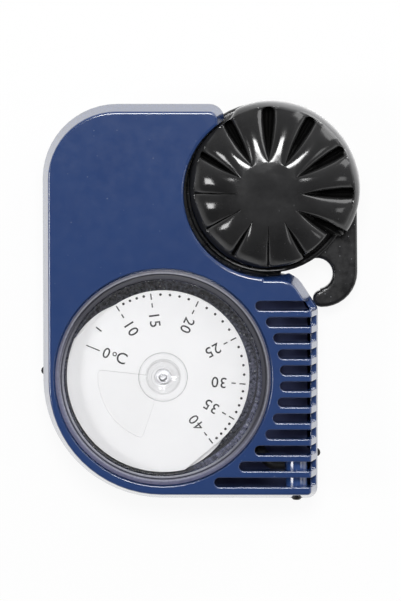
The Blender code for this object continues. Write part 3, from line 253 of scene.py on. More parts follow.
soft_lamp("lamp_key", (0.02, 0.38, 1.15), (0.4, 0.28), 9.7)
soft_lamp("lamp_left", (-0.85, -0.08, 0.78), (0.34, 0.3), 3.9)
soft_lamp("lamp_rim", (0.75, 0.75, 0.36), (0.7, 0.5), 3.5)
soft_lamp("lamp_right", (0.9, -0.15, 0.75), (0.3, 0.25), 0.5)

# %% [markdown]
# ## Surfaces from grids
#
# New pieces are made as grids of points: rows run along a profile and columns run round it. The last column
# joins the first by its index, so there is no seam. Where a row shrinks to one point, as at a pole, its
# points are merged, and the quads there become triangles. So each piece is one closed skin.


# %% Grids to meshes
def piece_from_grid(name, grid, finish, body="case", ring=False, groove=None):
    """Closed skin from a (rows, columns, 3) grid in mm; columns wrap round, and rows do too for a ring.
    Where a groove's depth is given for each point, it's kept as an attribute for the shader."""
    rows, columns = grid.shape[:2]
    i = np.arange(rows if ring else rows - 1)[:, None]
    j = np.arange(columns)[None, :]
    low, high = i * columns, (i + 1) % rows * columns
    beside = (j + 1) % columns
    quads = np.stack((low + j, high + j, high + beside, low + beside), axis=-1).reshape(-1, 4)
    mesh = bpy.data.meshes.new(name)
    mesh.vertices.add(rows * columns)
    mesh.vertices.foreach_set("co", (grid * MM).ravel())
    mesh.loops.add(quads.size)
    mesh.loops.foreach_set("vertex_index", quads.ravel())
    mesh.polygons.add(len(quads))
    mesh.polygons.foreach_set("loop_start", np.arange(0, quads.size, 4))
    mesh.update(calc_edges=True)
    if groove is not None:
        mesh.attributes.new("groove", "FLOAT", "POINT").data.foreach_set("value", groove.ravel())
    return finished(name, mesh, finish, body)


def finished(name, mesh, finish, body, sharp=40.0):
    """Welds a mesh, turns its faces outward, shades it smooth, and lets it ride on a body."""
    work = bmesh.new()
    work.from_mesh(mesh)
    bmesh.ops.remove_doubles(work, verts=work.verts, dist=0.0005 * MM)
    bmesh.ops.recalc_face_normals(work, faces=work.faces)
    work.to_mesh(mesh)
    work.free()
    mesh.shade_smooth()
    if sharp:
        mesh.set_sharp_from_angle(angle=math.radians(sharp))
    mesh.materials.append(finish)
    made = bpy.data.objects.new(name, mesh)
    bpy.context.scene.collection.objects.link(made)
    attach(made, body)
    print(name, len(mesh.polygons), "faces")
    return made


def rounded_corners(points, radius, steps=4):
    """Profile whose inner corners are replaced by short curves: each is a quadratic Bezier arc from a point
    radius before the corner to one radius after it."""
    points = np.asarray(points, float)
    corner, before, after = points[1:-1], points[:-2], points[2:]
    back_way, fore_way = before - corner, after - corner
    back_long = np.linalg.norm(back_way, axis=1, keepdims=True)
    fore_long = np.linalg.norm(fore_way, axis=1, keepdims=True)
    start = corner + back_way / back_long * np.minimum(radius, back_long * 0.45)
    end = corner + fore_way / fore_long * np.minimum(radius, fore_long * 0.45)
    t = np.linspace(0, 1, steps + 1)[None, :, None]
    arcs = (1 - t) ** 2 * start[:, None] + 2 * t * (1 - t) * corner[:, None] + t**2 * end[:, None]
    return np.vstack((points[:1], arcs.reshape(-1, 2), points[-1:]))


def turned_grid(profile, centre, columns):
    """Profile of (radius, height) carried round a centre: x = cx + r cos a, y = cy + r sin a, z = h."""
    angle = np.linspace(0, 2 * np.pi, columns, endpoint=False)[None, :]
    r, z = np.asarray(profile, float)[:, 0, None], np.asarray(profile, float)[:, 1, None]
    return np.stack((centre[0] + r * np.cos(angle), centre[1] + r * np.sin(angle), z + 0 * angle), axis=-1)


# Where the axes of the dial and of the jaw round the bulb stand, in mm
DIAL = np.array([-12.35, -25.2])
JAW = np.array([23.33, 37.53])
print("dial and jaw centres in mm:", DIAL, JAW)

# %% [markdown]
# ## Blue case
#
# The two covers are injection-moulded in one blue plastic. It is nearly glossy, with faint cloudy flow marks,
# uneven gloss and a little pale dust. Moulded edges are never knife-sharp: a Bevel node bends the shading
# normal over half a millimetre at each edge, and a little wider for the clear coat, so the edges catch a thin
# line of light without any new faces.


# %% Blue plastic for the covers
def dust(tree, where, body, scale, share, bright, tone):
    """Specks on a body colour: cells of a Voronoi pattern are pale near their centres, in a share of them."""
    cells = add(tree, "TexVoronoi", {"Vector": where, "Scale": scale, "Randomness": 1.0}).outputs
    speck = ramp(tree, cells["Distance"], 0.10, 0.22, 1.0, 0.0)
    draw = add(tree, "SeparateColor", {"Color": cells["Color"]}).outputs[0]
    picked = ramp(tree, draw, 1 - share, 1 - share + 0.02)
    specks = calc(tree, "MULTIPLY", calc(tree, "MULTIPLY", speck, picked), bright)
    return mix(tree, specks, body, colour(*tone))


def edge_round(tree, radius, relief=None):
    """Shading normal softened over a radius at edges, on top of an optional relief."""
    normal = add(tree, "Bevel", {"Radius": radius}, samples=16).outputs[0]
    if relief is None:
        return normal
    height_socket, distance, amount = relief
    inputs = {"Strength": amount, "Distance": distance, "Height": height_socket, "Normal": normal}
    return add(tree, "Bump", inputs).outputs[0]


def moulded_blue(name, deep, pale, rough):
    """Coated blue plastic: a cloudy tone between deep and pale, dust, and roughness that varies."""
    coat = {"Coat_Weight": 1.0, "Coat_Roughness": 0.08}
    finish, tree, shader = new_finish(name, rough, Specular_IOR_Level=0.5, **coat)
    where = place_in(tree)
    cloud = noise(tree, where, 45.0, 4.0, 0.6)
    body = mix(tree, ramp(tree, cloud, 0.35, 0.7), colour(*deep), colour(*pale))
    body = dust(tree, where, body, 900.0, 0.035, 0.35, (0.35, 0.4, 0.5))
    feed(shader, Base_Color=body)
    scuff = noise(tree, where, 220.0, 5.0, 0.7)
    feed(shader, Roughness=ramp(tree, scuff, 0.3, 0.75, rough - 0.03, rough + 0.05))
    grain = noise(tree, where, 1500.0, 2.0)
    feed(shader, Normal=edge_round(tree, 0.5 * MM, (grain, 0.01 * MM, 0.15)))
    feed(shader, Coat_Normal=edge_round(tree, 0.75 * MM))
    return finish


def dress(finish, *names):
    """Gives CAD nodes their finish, slot by slot."""
    for name in names:
        for slot in nodes[name].material_slots:
            slot.material = finish


case_blue = moulded_blue("case_blue", (0.016, 0.042, 0.143), (0.0185, 0.047, 0.153), 0.2)
pipe_blue = moulded_blue("pipe_blue", (0.026, 0.065, 0.21), (0.036, 0.085, 0.26), 0.16)
dress(case_blue, "front_cover", "rear_cover")
dress(pipe_blue, "inlet_pipe")
print("blue pieces dressed")

# %% [markdown]
# ## Black and grey plastic
#
# The hook plate is a plain black moulding with a fine satin grain and tiny pale specks. The float chamber is
# dark grey and shows the same specks through the clear window. Its pale tone is raised and tinted blue as
# painted light, because little light reaches down into the deep chamber.


# %% Plain mouldings
def moulded_plain(name, deep, pale, rough, speck_share, gloss=0.5, cloud=160.0, speck_scale=1100.0,
                  edge=0.35, coat=0.0, bright=0.5):
    """Grained plastic: a cloudy tone between deep and pale, with specks; edge is the softening in mm."""
    coats = {"Coat_Weight": coat, "Coat_Roughness": 0.1}
    finish, tree, shader = new_finish(name, rough, Specular_IOR_Level=gloss, **coats)
    where = place_in(tree)
    body = mix(tree, ramp(tree, noise(tree, where, cloud, 4.0), 0.35, 0.7), colour(*deep), colour(*pale))
    body = dust(tree, where, body, speck_scale, speck_share, bright, (0.45, 0.46, 0.5))
    uneven = ramp(tree, noise(tree, where, 300.0, 3.0), 0.3, 0.75, rough - 0.06, rough + 0.1)
    feed(shader, Base_Color=body, Roughness=uneven)
    grain = noise(tree, where, 1800.0, 2.0)
    feed(shader, Normal=edge_round(tree, edge * MM, (grain, 0.03 * MM, 0.35)))
    if coat:
        feed(shader, Coat_Normal=edge_round(tree, edge * MM))
    return finish


plate_black = moulded_plain(
    "plate_black", (0.006, 0.006, 0.007), (0.012, 0.012, 0.013), 0.3, 0.12,
    gloss=0.35, cloud=600.0, speck_scale=1000.0, edge=1.5, coat=0.7,
)
# The pale tone is raised and tinted blue past the real dark grey: painted light in the deep chamber
chamber_grey_and_painted_light = moulded_plain(
    "chamber_grey_and_painted_light", (0.02, 0.024, 0.045), (0.2, 0.21, 0.31), 0.6, 0.7,
    gloss=0.1, cloud=1000.0, speck_scale=600.0, bright=1.0,
)
dress(plate_black, "bulb_base", "bulb_clamp_ring")
dress(chamber_grey_and_painted_light, "chamber_cup")
print("black and grey pieces dressed")

# %% [markdown]
# The frame is the floor of the grip slots. It is black, but there its colour is painted navy blue, as painted
# reflection of light from the blue walls round it. Its two lugs show at the side walls and are plain black.
# One material does both: its tone changes near the frame's two ends.

# %% Inner frame with its black lugs
LUG_BLACK, LUG_BLUE = 3.0 * MM, 3.3 * MM
# Navy tones: painted reflected light from the blue walls, on a black frame
frame_black_and_painted_bounce = moulded_plain("frame_black_and_painted_bounce", (0.095, 0.115, 0.26), (0.125, 0.15, 0.33), 0.5, 0.03)
tree = frame_black_and_painted_bounce.node_tree
frame_shader = tree.nodes["Principled BSDF"]
across = add(tree, "SeparateXYZ", {0: place_in(tree)}).outputs["X"]
frame_low, frame_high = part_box("inner_frame")
left_lug = ramp(tree, across, frame_low[0] + LUG_BLUE, frame_low[0] + LUG_BLACK)
right_lug = ramp(tree, across, frame_high[0] - LUG_BLUE, frame_high[0] - LUG_BLACK)
# The painted navy bounce light stays on the frame's middle, and the lugs get the real black
inside = frame_shader.inputs["Base Color"].links[0].from_socket
lug_tone = mix(tree, calc(tree, "MAXIMUM", left_lug, right_lug), inside, colour(0.014, 0.014, 0.016))
feed(frame_shader, Base_Color=lug_tone)
dress(frame_black_and_painted_bounce, "inner_frame")
print("frame from", round(frame_low[0] / MM, 1), "to", round(frame_high[0] / MM, 1), "mm across")

# %% [markdown]
# ## White plates
#
# The scale plate and the plate behind it are matt white plastic. A flat white looks like paper cut out of the
# picture, so a faint cloud and a fine grain go into it.


# %% White plates
def moulded_white(name, tone, rough, cloud_depth=0.03):
    finish, tree, shader = new_finish(name, rough, Specular_IOR_Level=0.35)
    where = place_in(tree)
    pale, deep = colour(*tone), colour(*(c * (1 - cloud_depth) for c in tone))
    body = mix(tree, ramp(tree, noise(tree, where, 120.0, 4.0), 0.3, 0.75), pale, deep)
    grain = noise(tree, where, 1500.0)
    feed(shader, Base_Color=body, Normal=edge_round(tree, 0.2 * MM, (grain, 0.01 * MM, 0.2)))
    return finish


scale_white = moulded_white("scale_white", (0.87, 0.87, 0.88), 0.45)
backing_white = moulded_white("backing_white", (0.88, 0.88, 0.89), 0.5)
dress(scale_white, "scale_plate")
dress(backing_white, "backing_plate")
print("plates dressed")

# %% [markdown]
# ## Steel
#
# Pin, washer and screws are plain steel. Turned metal has fine lines round it: a noise squeezed along the
# axis by a Mapping node gives them.


# %% Steel
def plain_steel(name, rough):
    finish, tree, shader = new_finish(name, rough, Metallic=1.0)
    squeezed = add(tree, "Mapping", {"Vector": place_in(tree), "Scale": (300.0, 300.0, 2500.0)}).outputs[0]
    streaks = noise(tree, squeezed, 1.0, 3.0)
    body = mix(tree, streaks, colour(0.55, 0.55, 0.57), colour(0.68, 0.68, 0.7))
    feed(shader, Base_Color=body, Roughness=ramp(tree, streaks, 0.3, 0.7, rough - 0.05, rough + 0.1))
    return finish


steel = plain_steel("steel", 0.3)
dress(steel, "pivot_pin", "pivot_washer", "cover_screw_top_left", "cover_screw_top_right", "cover_screw_side")
print("steel pieces dressed")

# %% [markdown]
# ## Clear plastic
#
# Clear plastic bends light, so it is a transmitting Principled shader. Light for the dial passes it as if it
# were air, by the Light Path node; otherwise the plate below would lie in a dark, noisy caustic shadow.
# Moulded steps too fine to model get painted shade: soft grey rings about the dial's axis, mixed into the
# colour.


# %% Clear plastic
def off_axis(tree, centre):
    """Place measured from an upright axis."""
    return place_sum(tree, "SUBTRACT", place_in(tree), (centre[0] * MM, centre[1] * MM, 0.0))


def axis_distance(tree, centre):
    """Distance from an upright axis, in metres."""
    flat = place_sum(tree, "MULTIPLY", off_axis(tree, centre), (1.0, 1.0, 0.0))
    return place_measure(tree, "LENGTH", flat)


def from_dial(tree):
    """Distance from the dial's axis, in mm."""
    return calc(tree, "DIVIDE", axis_distance(tree, DIAL), MM)


def rings(tree, shade_bands):
    """Sum of soft painted shade rings (radius, half width, strength), each fading to nothing a half width
    off.
    """
    away = from_dial(tree)
    total = 0.0
    for radius, half, strength in shade_bands:
        off = calc(tree, "ABSOLUTE", calc(tree, "SUBTRACT", away, radius))
        total = calc(tree, "ADD", total, ramp(tree, off, 0.0, half, strength, 0.0))
    return total


def clear_plastic(name, rough=0.02, tint=(0.995, 0.995, 0.998), shade_bands=None, edge=None):
    """Clear moulding with optional painted shade rings, and a painted grey shade line along the edges of a
    thin sheet.
    """
    finish, tree, shader = new_finish(name, rough, Transmission_Weight=1.0, IOR=1.46)
    haze = noise(tree, place_in(tree), 500.0, 3.0)
    body = mix(tree, haze, colour(*tint), colour(*(c * 0.985 for c in tint)))
    if shade_bands:
        # Painted shade: grey rings mixed into the clear colour
        body = mix(tree, rings(tree, shade_bands), body, colour(0.25, 0.25, 0.26))
    if edge:
        # Painted shade: a grey line where the bevelled normal turns away from upright, along the sheet's
        # edges
        turned = add(tree, "SeparateXYZ", {0: edge_round(tree, edge * MM)}).outputs["Z"]
        line = ramp(tree, calc(tree, "ABSOLUTE", turned), 0.995, 0.8, 0.0, 0.5)
        body = mix(tree, line, body, colour(0.45, 0.45, 0.46))
    feed(shader, Base_Color=body)
    path = add(tree, "LightPath").outputs
    light = calc(tree, "MAXIMUM", path["Is Shadow Ray"], path["Is Diffuse Ray"])
    air = add(tree, "BsdfTransparent", {"Color": colour(0.985, 0.985, 0.985)}).outputs[0]
    both = add(tree, "MixShader", {0: light, 1: shader.outputs[0], 2: air}).outputs[0]
    tree.links.new(both, tree.nodes["Material Output"].inputs["Surface"])
    return finish


# The float's vane gets the painted grey edge line
float_clear = clear_plastic("float_clear", 0.06, (0.992, 0.992, 0.992), edge=0.4)
dress(float_clear, "float_vane")
print("float dressed")

# %% [markdown]
# ## Float hub
#
# The hub is a clear disc with three raised rings, so it is a profile carried round the axis. Its corners are
# rounded a little, as moulded edges are.

# %% Stepped hub
HUB_FOOT, HUB_RIM, HUB_VALLEY, HUB_TOP = 24.9, 25.2, 25.5, 25.65
HUB_RADIUS, PIN_BORE = 8.4, 1.05
# Painted shade rings on the clear hub: radius, half width and strength, in mm
HUB_SHADE_RINGS = [
    (8.32, 0.2, 0.95), (7.9, 0.3, 0.12), (5.5, 0.5, 0.3), (4.9, 1.2, 0.1), (4.4, 0.14, 0.25),
    (3.85, 0.16, 0.32), (3.3, 0.14, 0.28), (2.8, 0.16, 0.4), (2.2, 0.2, 0.3),
]
hub_clear = clear_plastic("hub_clear", 0.03, shade_bands=HUB_SHADE_RINGS)
hub_profile = rounded_corners(
    [
        (4.0, HUB_FOOT), (HUB_RADIUS, HUB_FOOT), (HUB_RADIUS, HUB_RIM), (5.5, HUB_RIM), (5.3, HUB_TOP),
        (4.6, HUB_TOP), (4.4, HUB_VALLEY), (3.95, HUB_VALLEY), (3.75, HUB_TOP), (3.4, HUB_TOP),
        (3.2, HUB_VALLEY), (2.9, HUB_VALLEY), (2.7, HUB_TOP), (PIN_BORE, HUB_TOP), (PIN_BORE, HUB_FOOT),
        (4.0, HUB_FOOT),
    ],
    0.08,
)[:-1]
hub = piece_from_grid("clear_hub", turned_grid(hub_profile, DIAL, 160), hub_clear, "float", ring=True)
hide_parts("float_hub")

# %% [markdown]
# ## Window
#
# The window is one clear moulding: a flat pane with a skirt below, a small boss over the pin and a nub from
# the mould's gate in the middle. It is a profile turned about the dial's axis, from the nub out to the rim,
# down the skirt and back to the boss underneath.

# %% Window with its boss steps and gate nub
PANE_TOP, PANE_FOOT, SKIRT_FOOT = 28.1, 26.6, 19.3
PANE_RADIUS, SKIRT_OUT, SKIRT_IN = 36.6, 34.2, 33.3
RIM_START, RIM_END = 33.65, 37.0
# Painted shade rings round the gate nub and the boss: radius, half width and strength, in mm
WINDOW_SHADE_RINGS = [(1.3, 0.28, 0.75), (0.7, 0.5, 0.2), (2.1, 0.1, 0.22), (2.75, 0.12, 0.3), (3.8, 0.14, 0.25)]
window_clear = clear_plastic("window_clear", shade_bands=WINDOW_SHADE_RINGS)
window_profile = rounded_corners(
    [
        (0.0, 28.36), (0.9, 28.34), (1.3, PANE_TOP - 0.03), (1.7, PANE_TOP - 0.03), (1.9, PANE_TOP),
        (RIM_START, PANE_TOP), (34.9, PANE_TOP), (35.0, PANE_TOP - 0.12), (35.15, PANE_TOP - 0.12),
        (35.3, PANE_TOP + 0.03), (35.7, PANE_TOP + 0.03), (35.75, PANE_TOP - 0.03),
        (36.15, PANE_TOP - 0.03), (36.2, PANE_TOP - 0.1), (PANE_RADIUS, PANE_TOP - 0.1),
        (PANE_RADIUS, PANE_FOOT), (SKIRT_OUT, PANE_FOOT), (SKIRT_OUT, SKIRT_FOOT), (SKIRT_IN, SKIRT_FOOT),
        (SKIRT_IN, PANE_FOOT), (4.6, PANE_FOOT), (2.4, PANE_FOOT - 0.6), (PIN_BORE, PANE_FOOT - 0.6),
        (PIN_BORE, PANE_FOOT + 0.7), (0.0, PANE_FOOT + 0.7),
    ],
    0.1,
)
dial_window = piece_from_grid("window_pane", turned_grid(window_profile, DIAL, 256), window_clear)
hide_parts("dial_window")

# %% [markdown]
# The window's rim is ground: the seal and the ledge show through it as soft rings, whose light and shade are
# painted into the rim's colour: painted shade and a dark line toward the bulb, with a pale line further out,
# and painted light and pale highlight lines on the far side. A ring's tone hangs on its radius, and the two
# sets are blended by the direction from the axis. The rim's faces get this second material by their place and
# their normal.

# %% Ground rim of the window
# Radius in mm, grey tone and blue tone of the painted rings: the shaded side toward the bulb, then the lit
# side away from it
RIM_NEAR_PAINTED = [
    (33.65, 0.025, 0.037), (34.2, 0.045, 0.06), (34.6, 0.04, 0.055), (34.85, 0.018, 0.025),
    (35.35, 0.015, 0.025), (35.6, 0.22, 0.27), (35.9, 0.26, 0.3), (36.1, 0.1, 0.14), (36.35, 0.075, 0.115),
    (36.5, 0.09, 0.15), (37.0, 0.06, 0.12),
]
RIM_FAR_PAINTED = [
    (33.65, 0.4, 0.46), (34.2, 0.32, 0.38), (34.4, 0.035, 0.06), (34.72, 0.035, 0.06), (34.95, 0.36, 0.44),
    (35.2, 0.25, 0.34), (35.5, 0.22, 0.32), (35.9, 0.155, 0.25), (36.4, 0.13, 0.23), (36.75, 0.12, 0.22),
    (37.0, 0.1, 0.2),
]


def ring_tones(tree, away, stops):
    """Painted light and shade that hang on the distance from the dial's axis, straight between the given
    radii.
    """
    made = add(tree, "ValToRGB", {"Fac": ramp(tree, away, RIM_START, RIM_END)})
    points = made.color_ramp.elements
    while len(points) < len(stops):
        points.new(0.5)
    for point, (radius, grey, blue) in zip(points, stops):
        point.position = (radius - RIM_START) / (RIM_END - RIM_START)
        point.color = colour(grey, grey * 1.02, blue)
    return made.outputs["Color"]


def toward_side(tree, centre, way, low, high):
    """Share that grows along a direction in the plane, from low to high mm off an upright axis."""
    along = place_measure(tree, "DOT_PRODUCT", off_axis(tree, centre), way)
    return ramp(tree, along, low * MM, high * MM)


ground_rim, tree, rim_shader = new_finish("window_rim_painted_light", 0.35, Specular_IOR_Level=0.4, Transmission_Weight=0.1)
away = from_dial(tree)
# Share of the painted lit side, which grows away from the bulb
lit_side_share = toward_side(tree, DIAL, (-0.45, -0.89, 0.0), -6.0, 24.0)
tone = mix(tree, lit_side_share, ring_tones(tree, away, RIM_NEAR_PAINTED), ring_tones(tree, away, RIM_FAR_PAINTED))
grit = ramp(tree, noise(tree, place_in(tree), 1200.0, 3.0), 0.3, 0.7, 0.0, 0.3)
tone = mix(tree, grit, tone, colour(0.03, 0.03, 0.04))
feed(rim_shader, Base_Color=tone)
dial_window.data.materials.append(ground_rim)
faces = dial_window.data.polygons
centres, normals = np.empty(3 * len(faces)), np.empty(3 * len(faces))
faces.foreach_get("center", centres)
faces.foreach_get("normal", normals)
off = np.hypot(*(centres.reshape(-1, 3)[:, :2] / MM - DIAL).T)
on_rim = (off > RIM_START) & (normals.reshape(-1, 3)[:, 2] > 0.2)
faces.foreach_set("material_index", on_rim.astype(np.int32))
print("rim faces:", int(on_rim.sum()), "of", len(faces))

# %% [markdown]
# ## Seal
#
# A rubber sleeve goes round the window's skirt. It has two shallow grooves on its outer side, so it is a
# closed profile turned about the axis.


# %% Matt rubber and the window's seal
def bump(tree, height_socket, distance, amount):
    """Shading normal of a bumpy skin: distance in mm, amount as a share."""
    inputs = {"Strength": amount, "Distance": distance * MM, "Height": height_socket}
    return add(tree, "Bump", inputs).outputs[0]


def matt_rubber(name, tone, rough):
    finish, tree, shader = new_finish(name, rough, Specular_IOR_Level=0.4)
    where = place_in(tree)
    deep, pale = (colour(grey, grey, grey) for grey in (tone, tone * 1.7))
    body = mix(tree, ramp(tree, noise(tree, where, 250.0, 4.0), 0.3, 0.7), deep, pale)
    feed(shader, Base_Color=body, Normal=bump(tree, noise(tree, where, 2200.0, 2.0), 0.03, 0.3))
    return finish


seal_black = matt_rubber("seal_black", 0.014, 0.4)
hose_black = matt_rubber("hose_black", 0.014, 0.5)
seal_profile = rounded_corners(
    [
        (35.45, 26.3), (35.7, 26.3), (35.7, 25.0), (35.5, 24.6), (35.7, 24.2), (35.7, 22.4), (35.5, 22.0),
        (35.7, 21.6), (35.7, 20.0), (34.5, 20.0), (34.5, 22.6), (35.15, 22.6), (35.2, 26.3), (35.45, 26.3),
    ],
    0.12,
)[:-1]
seal = piece_from_grid("seal_ring", turned_grid(seal_profile, DIAL, 192), seal_black, ring=True)
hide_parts("window_seal")

# %% [markdown]
# ## Tubes inside
#
# Two short rubber tubes carry the liquid: one straight, from the chamber to the bulb's base, and one bent,
# from the pipe to the chamber. A tube is a circle carried along a path. The bent one leaves both spigots
# straight, and a cubic Bezier curve joins the two straight ends without a kink.


# %% Straight transfer tube
def tube_grid(points, outer, bore, columns=32):
    """Thick tube along a path: at each point the circle's two axes are square to the path, found from the
    path's direction and a fixed upright; rows run out along the outside, then back along the bore."""
    points = np.asarray(points, float)
    way = np.gradient(points, axis=0)
    way /= np.linalg.norm(way, axis=1, keepdims=True)
    side = np.cross(way, (0.0, 0.0, 1.0))
    side /= np.linalg.norm(side, axis=1, keepdims=True)
    rise = np.cross(side, way)
    angle = np.linspace(0, 2 * np.pi, columns, endpoint=False)[None, :, None]
    ring = side[:, None] * np.cos(angle) + rise[:, None] * np.sin(angle)
    return np.concatenate((points[:, None] + outer * ring, (points[:, None] + bore * ring)[::-1]))


TUBE_OUTER, TUBE_BORE = 2.2, 1.7
CHAMBER_REACH, BASE_REACH = 34.5, 30.66
INLET_Z, OUTLET_Z = 14.4, 9.7
line_way = (JAW - DIAL) / np.linalg.norm(JAW - DIAL)
tube_ends = np.array([DIAL + line_way * CHAMBER_REACH, JAW - line_way * BASE_REACH])
tube_line = tube_ends[0] + (tube_ends[1] - tube_ends[0]) * np.linspace(0, 1, 12)[:, None]
tube_path = np.column_stack((tube_line, np.full(len(tube_line), OUTLET_Z)))
tube = piece_from_grid("transfer_sleeve", tube_grid(tube_path, TUBE_OUTER, TUBE_BORE), hose_black, ring=True)
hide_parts("transfer_tube")

# %% Bent inlet hose
HOSE_START = np.array([29.2, -55.8, 17.7])
HOSE_STRAIGHT = 3.0
HOSE_PULL = 2.6
port = math.radians(-38.0)
port_way = np.array([math.cos(port), math.sin(port), 0.0])
hose_end = np.array([*(DIAL + CHAMBER_REACH * port_way[:2]), INLET_Z])
bend_start = HOSE_START - (HOSE_STRAIGHT, 0.0, 0.0)
bend_end = hose_end + HOSE_STRAIGHT * port_way
first, second = bend_start - (HOSE_PULL, 0.0, 0.0), bend_end + HOSE_PULL * port_way
t = np.linspace(0, 1, 40)[:, None]
bend = bend_start * (1 - t) ** 3 + 3 * first * t * (1 - t) ** 2
bend = bend + 3 * second * t**2 * (1 - t) + bend_end * t**3
straight = np.linspace(0, 1, 8)[:-1, None]
start_run = HOSE_START + (bend_start - HOSE_START) * straight
end_run = hose_end + (bend_end - hose_end) * straight[::-1]
hose_path = np.vstack((start_run, bend, end_run))
hose = piece_from_grid("inlet_sleeve", tube_grid(hose_path, TUBE_OUTER, TUBE_BORE), hose_black, ring=True)
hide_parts("inlet_hose")
hose_low, hose_high = (np.array(corner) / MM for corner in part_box("inlet_hose"))
made = np.empty(3 * len(hose.data.vertices))
hose.data.vertices.foreach_get("co", made)
made = made.reshape(-1, 3) / MM
print("hose box in mm: CAD", hose_low.round(1), hose_high.round(1))
print("made", made.min(0).round(1), made.max(0).round(1))

# %% [markdown]
# The nozzle is a short black stub at the bottom wall with a domed outer end and a small bore. Its profile is
# turned about an upright axis and then laid down, by swapping the grid's second and third coordinates.

# %% Nozzle stub
stub_low, stub_high = (np.array(corner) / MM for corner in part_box("inlet_nozzle"))
stub_root, stub_tip = stub_high[1], stub_low[1]
stub_profile = rounded_corners(
    [
        (1.2, stub_root), (1.7, stub_root), (1.7, stub_tip + 1.7), (1.25, stub_tip + 1.05),
        (0.6, stub_tip + 0.95), (0.6, stub_tip + 3.0), (0.9, stub_tip + 3.1), (0.9, stub_root),
        (1.2, stub_root),
    ],
    0.35,
)[:-1]
stub_centre = [(stub_low[0] + stub_high[0]) / 2, 0.0, (stub_low[2] + stub_high[2]) / 2]
stub_grid = turned_grid(stub_profile, (0.0, 0.0), 40)[..., [0, 2, 1]] + stub_centre
stub = piece_from_grid("nozzle_stub", stub_grid, hose_black, ring=True)
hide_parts("inlet_nozzle")

# %% [markdown]
# ## Rubber bulb
#
# The squeeze bulb is the most sculpted piece: a round cushion with twelve flutes from a flat crown to near
# the rim. It is one grid. Rows follow the dome's section; columns are packed toward the flutes' edges, so
# their steep walls stay crisp. A flute is a V at the crown, opens to parallel walls and ends round.


# %% Dome section as a smooth curve
def smooth_path(knots, count):
    """Catmull-Rom curve through knots: each span is the cubic whose end tangents are half the chord between
    the neighbours, so the curve passes every knot without a kink."""
    knots = np.asarray(knots, float)
    held = np.vstack((2 * knots[0] - knots[1], knots, 2 * knots[-1] - knots[-2]))
    place = np.linspace(0, len(knots) - 1, count)
    span = np.minimum(place.astype(int), len(knots) - 2)
    t = (place - span)[:, None]
    a, b, c, d = (held[span + k] for k in range(4))
    return 0.5 * (2 * b + (c - a) * t + (2 * a - 5 * b + 4 * c - d) * t**2 + (3 * b - a - 3 * c + d) * t**3)


BULB_FOOT, BULB_HEIGHT = 12.5, 20.5
DRUM_RADIUS = 29.07
DRUM_SHIFT = np.array([2.2, 2.3])
CROWN_RADIUS = 10.75
FLUTE_END_SHARE = 0.94
# Shares of the bulb's height over its foot, of the drum's radius, and of its shift off the jaw's centre
DOME_SHARES = np.array(
    [
        (1.0, 0.0, 0.0), (1.0, 0.16, 0.0), (0.996, 0.31, 0.0), (0.988, 0.40, 0.08), (0.965, 0.53, 0.2),
        (0.925, 0.66, 0.4), (0.86, 0.79, 0.65), (0.78, 0.89, 0.88), (0.69, 0.962, 1.0), (0.58, 0.997, 1.0),
        (0.45, 1.0, 1.0), (0.33, 1.0, 1.0), (0.275, 0.995, 1.0), (0.255, 0.97, 1.0), (0.245, 0.94, 1.0),
    ]
)
dome = smooth_path(DOME_SHARES, 3000)
steps = np.hypot(np.diff(dome[:, 0]) * BULB_HEIGHT, np.diff(dome[:, 1]) * DRUM_RADIUS)
arc = np.concatenate(([0], np.cumsum(steps)))
# Only the upper part of the curve, where the radius grows, is searched for a radius
crown_at = np.interp(CROWN_RADIUS / DRUM_RADIUS, dome[:1500, 1], arc[:1500])
flute_end_at = np.interp(FLUTE_END_SHARE, dome[:1900, 1], arc[:1900])
print("dome arc", round(arc[-1], 1), "mm, flutes from", round(crown_at, 1), "to", round(flute_end_at, 1))

# %% [markdown]
# The rows lie closer where the flutes open and end. Round the bulb each flute has a fixed set of lanes,
# mirrored about its middle and on to the middle of each petal beside it, so the grid follows the flutes.

# %% Rows and columns of the bulb's grid
row_at = np.concatenate(
    (
        np.linspace(0, crown_at - 1.0, 12, endpoint=False),
        np.linspace(crown_at - 1.0, crown_at + 3.0, 36, endpoint=False),
        np.linspace(crown_at + 3.0, flute_end_at - 2.6, 56, endpoint=False),
        np.linspace(flute_end_at - 2.6, flute_end_at + 0.4, 44, endpoint=False),
        np.linspace(flute_end_at + 0.4, arc[-1], 46),
    )
)
row_height, row_wide, row_shift = (np.interp(row_at, arc, dome[:, k]) for k in range(3))
# Each flute, counter-clockwise from the right: half width, depth and how far past the others it runs, in mm.
# Those beside the case are pinched to creases, and the one over the hook plate runs out through the rim.
FLUTE_ROWS = np.array(
    [
        (1.6, 6.4, 0), (1.6, 6.6, 0), (1.55, 6.6, 0), (1.85, 6.6, 0), (1.5, 6.4, 0), (1.1, 5.0, 0),
        (0.32, 2.2, 0), (0.3, 2.2, 0), (0.6, 3.4, 0), (0.4, 2.0, 0), (0.65, 3.6, 0), (1.9, 7.0, 30.0),
    ]
)
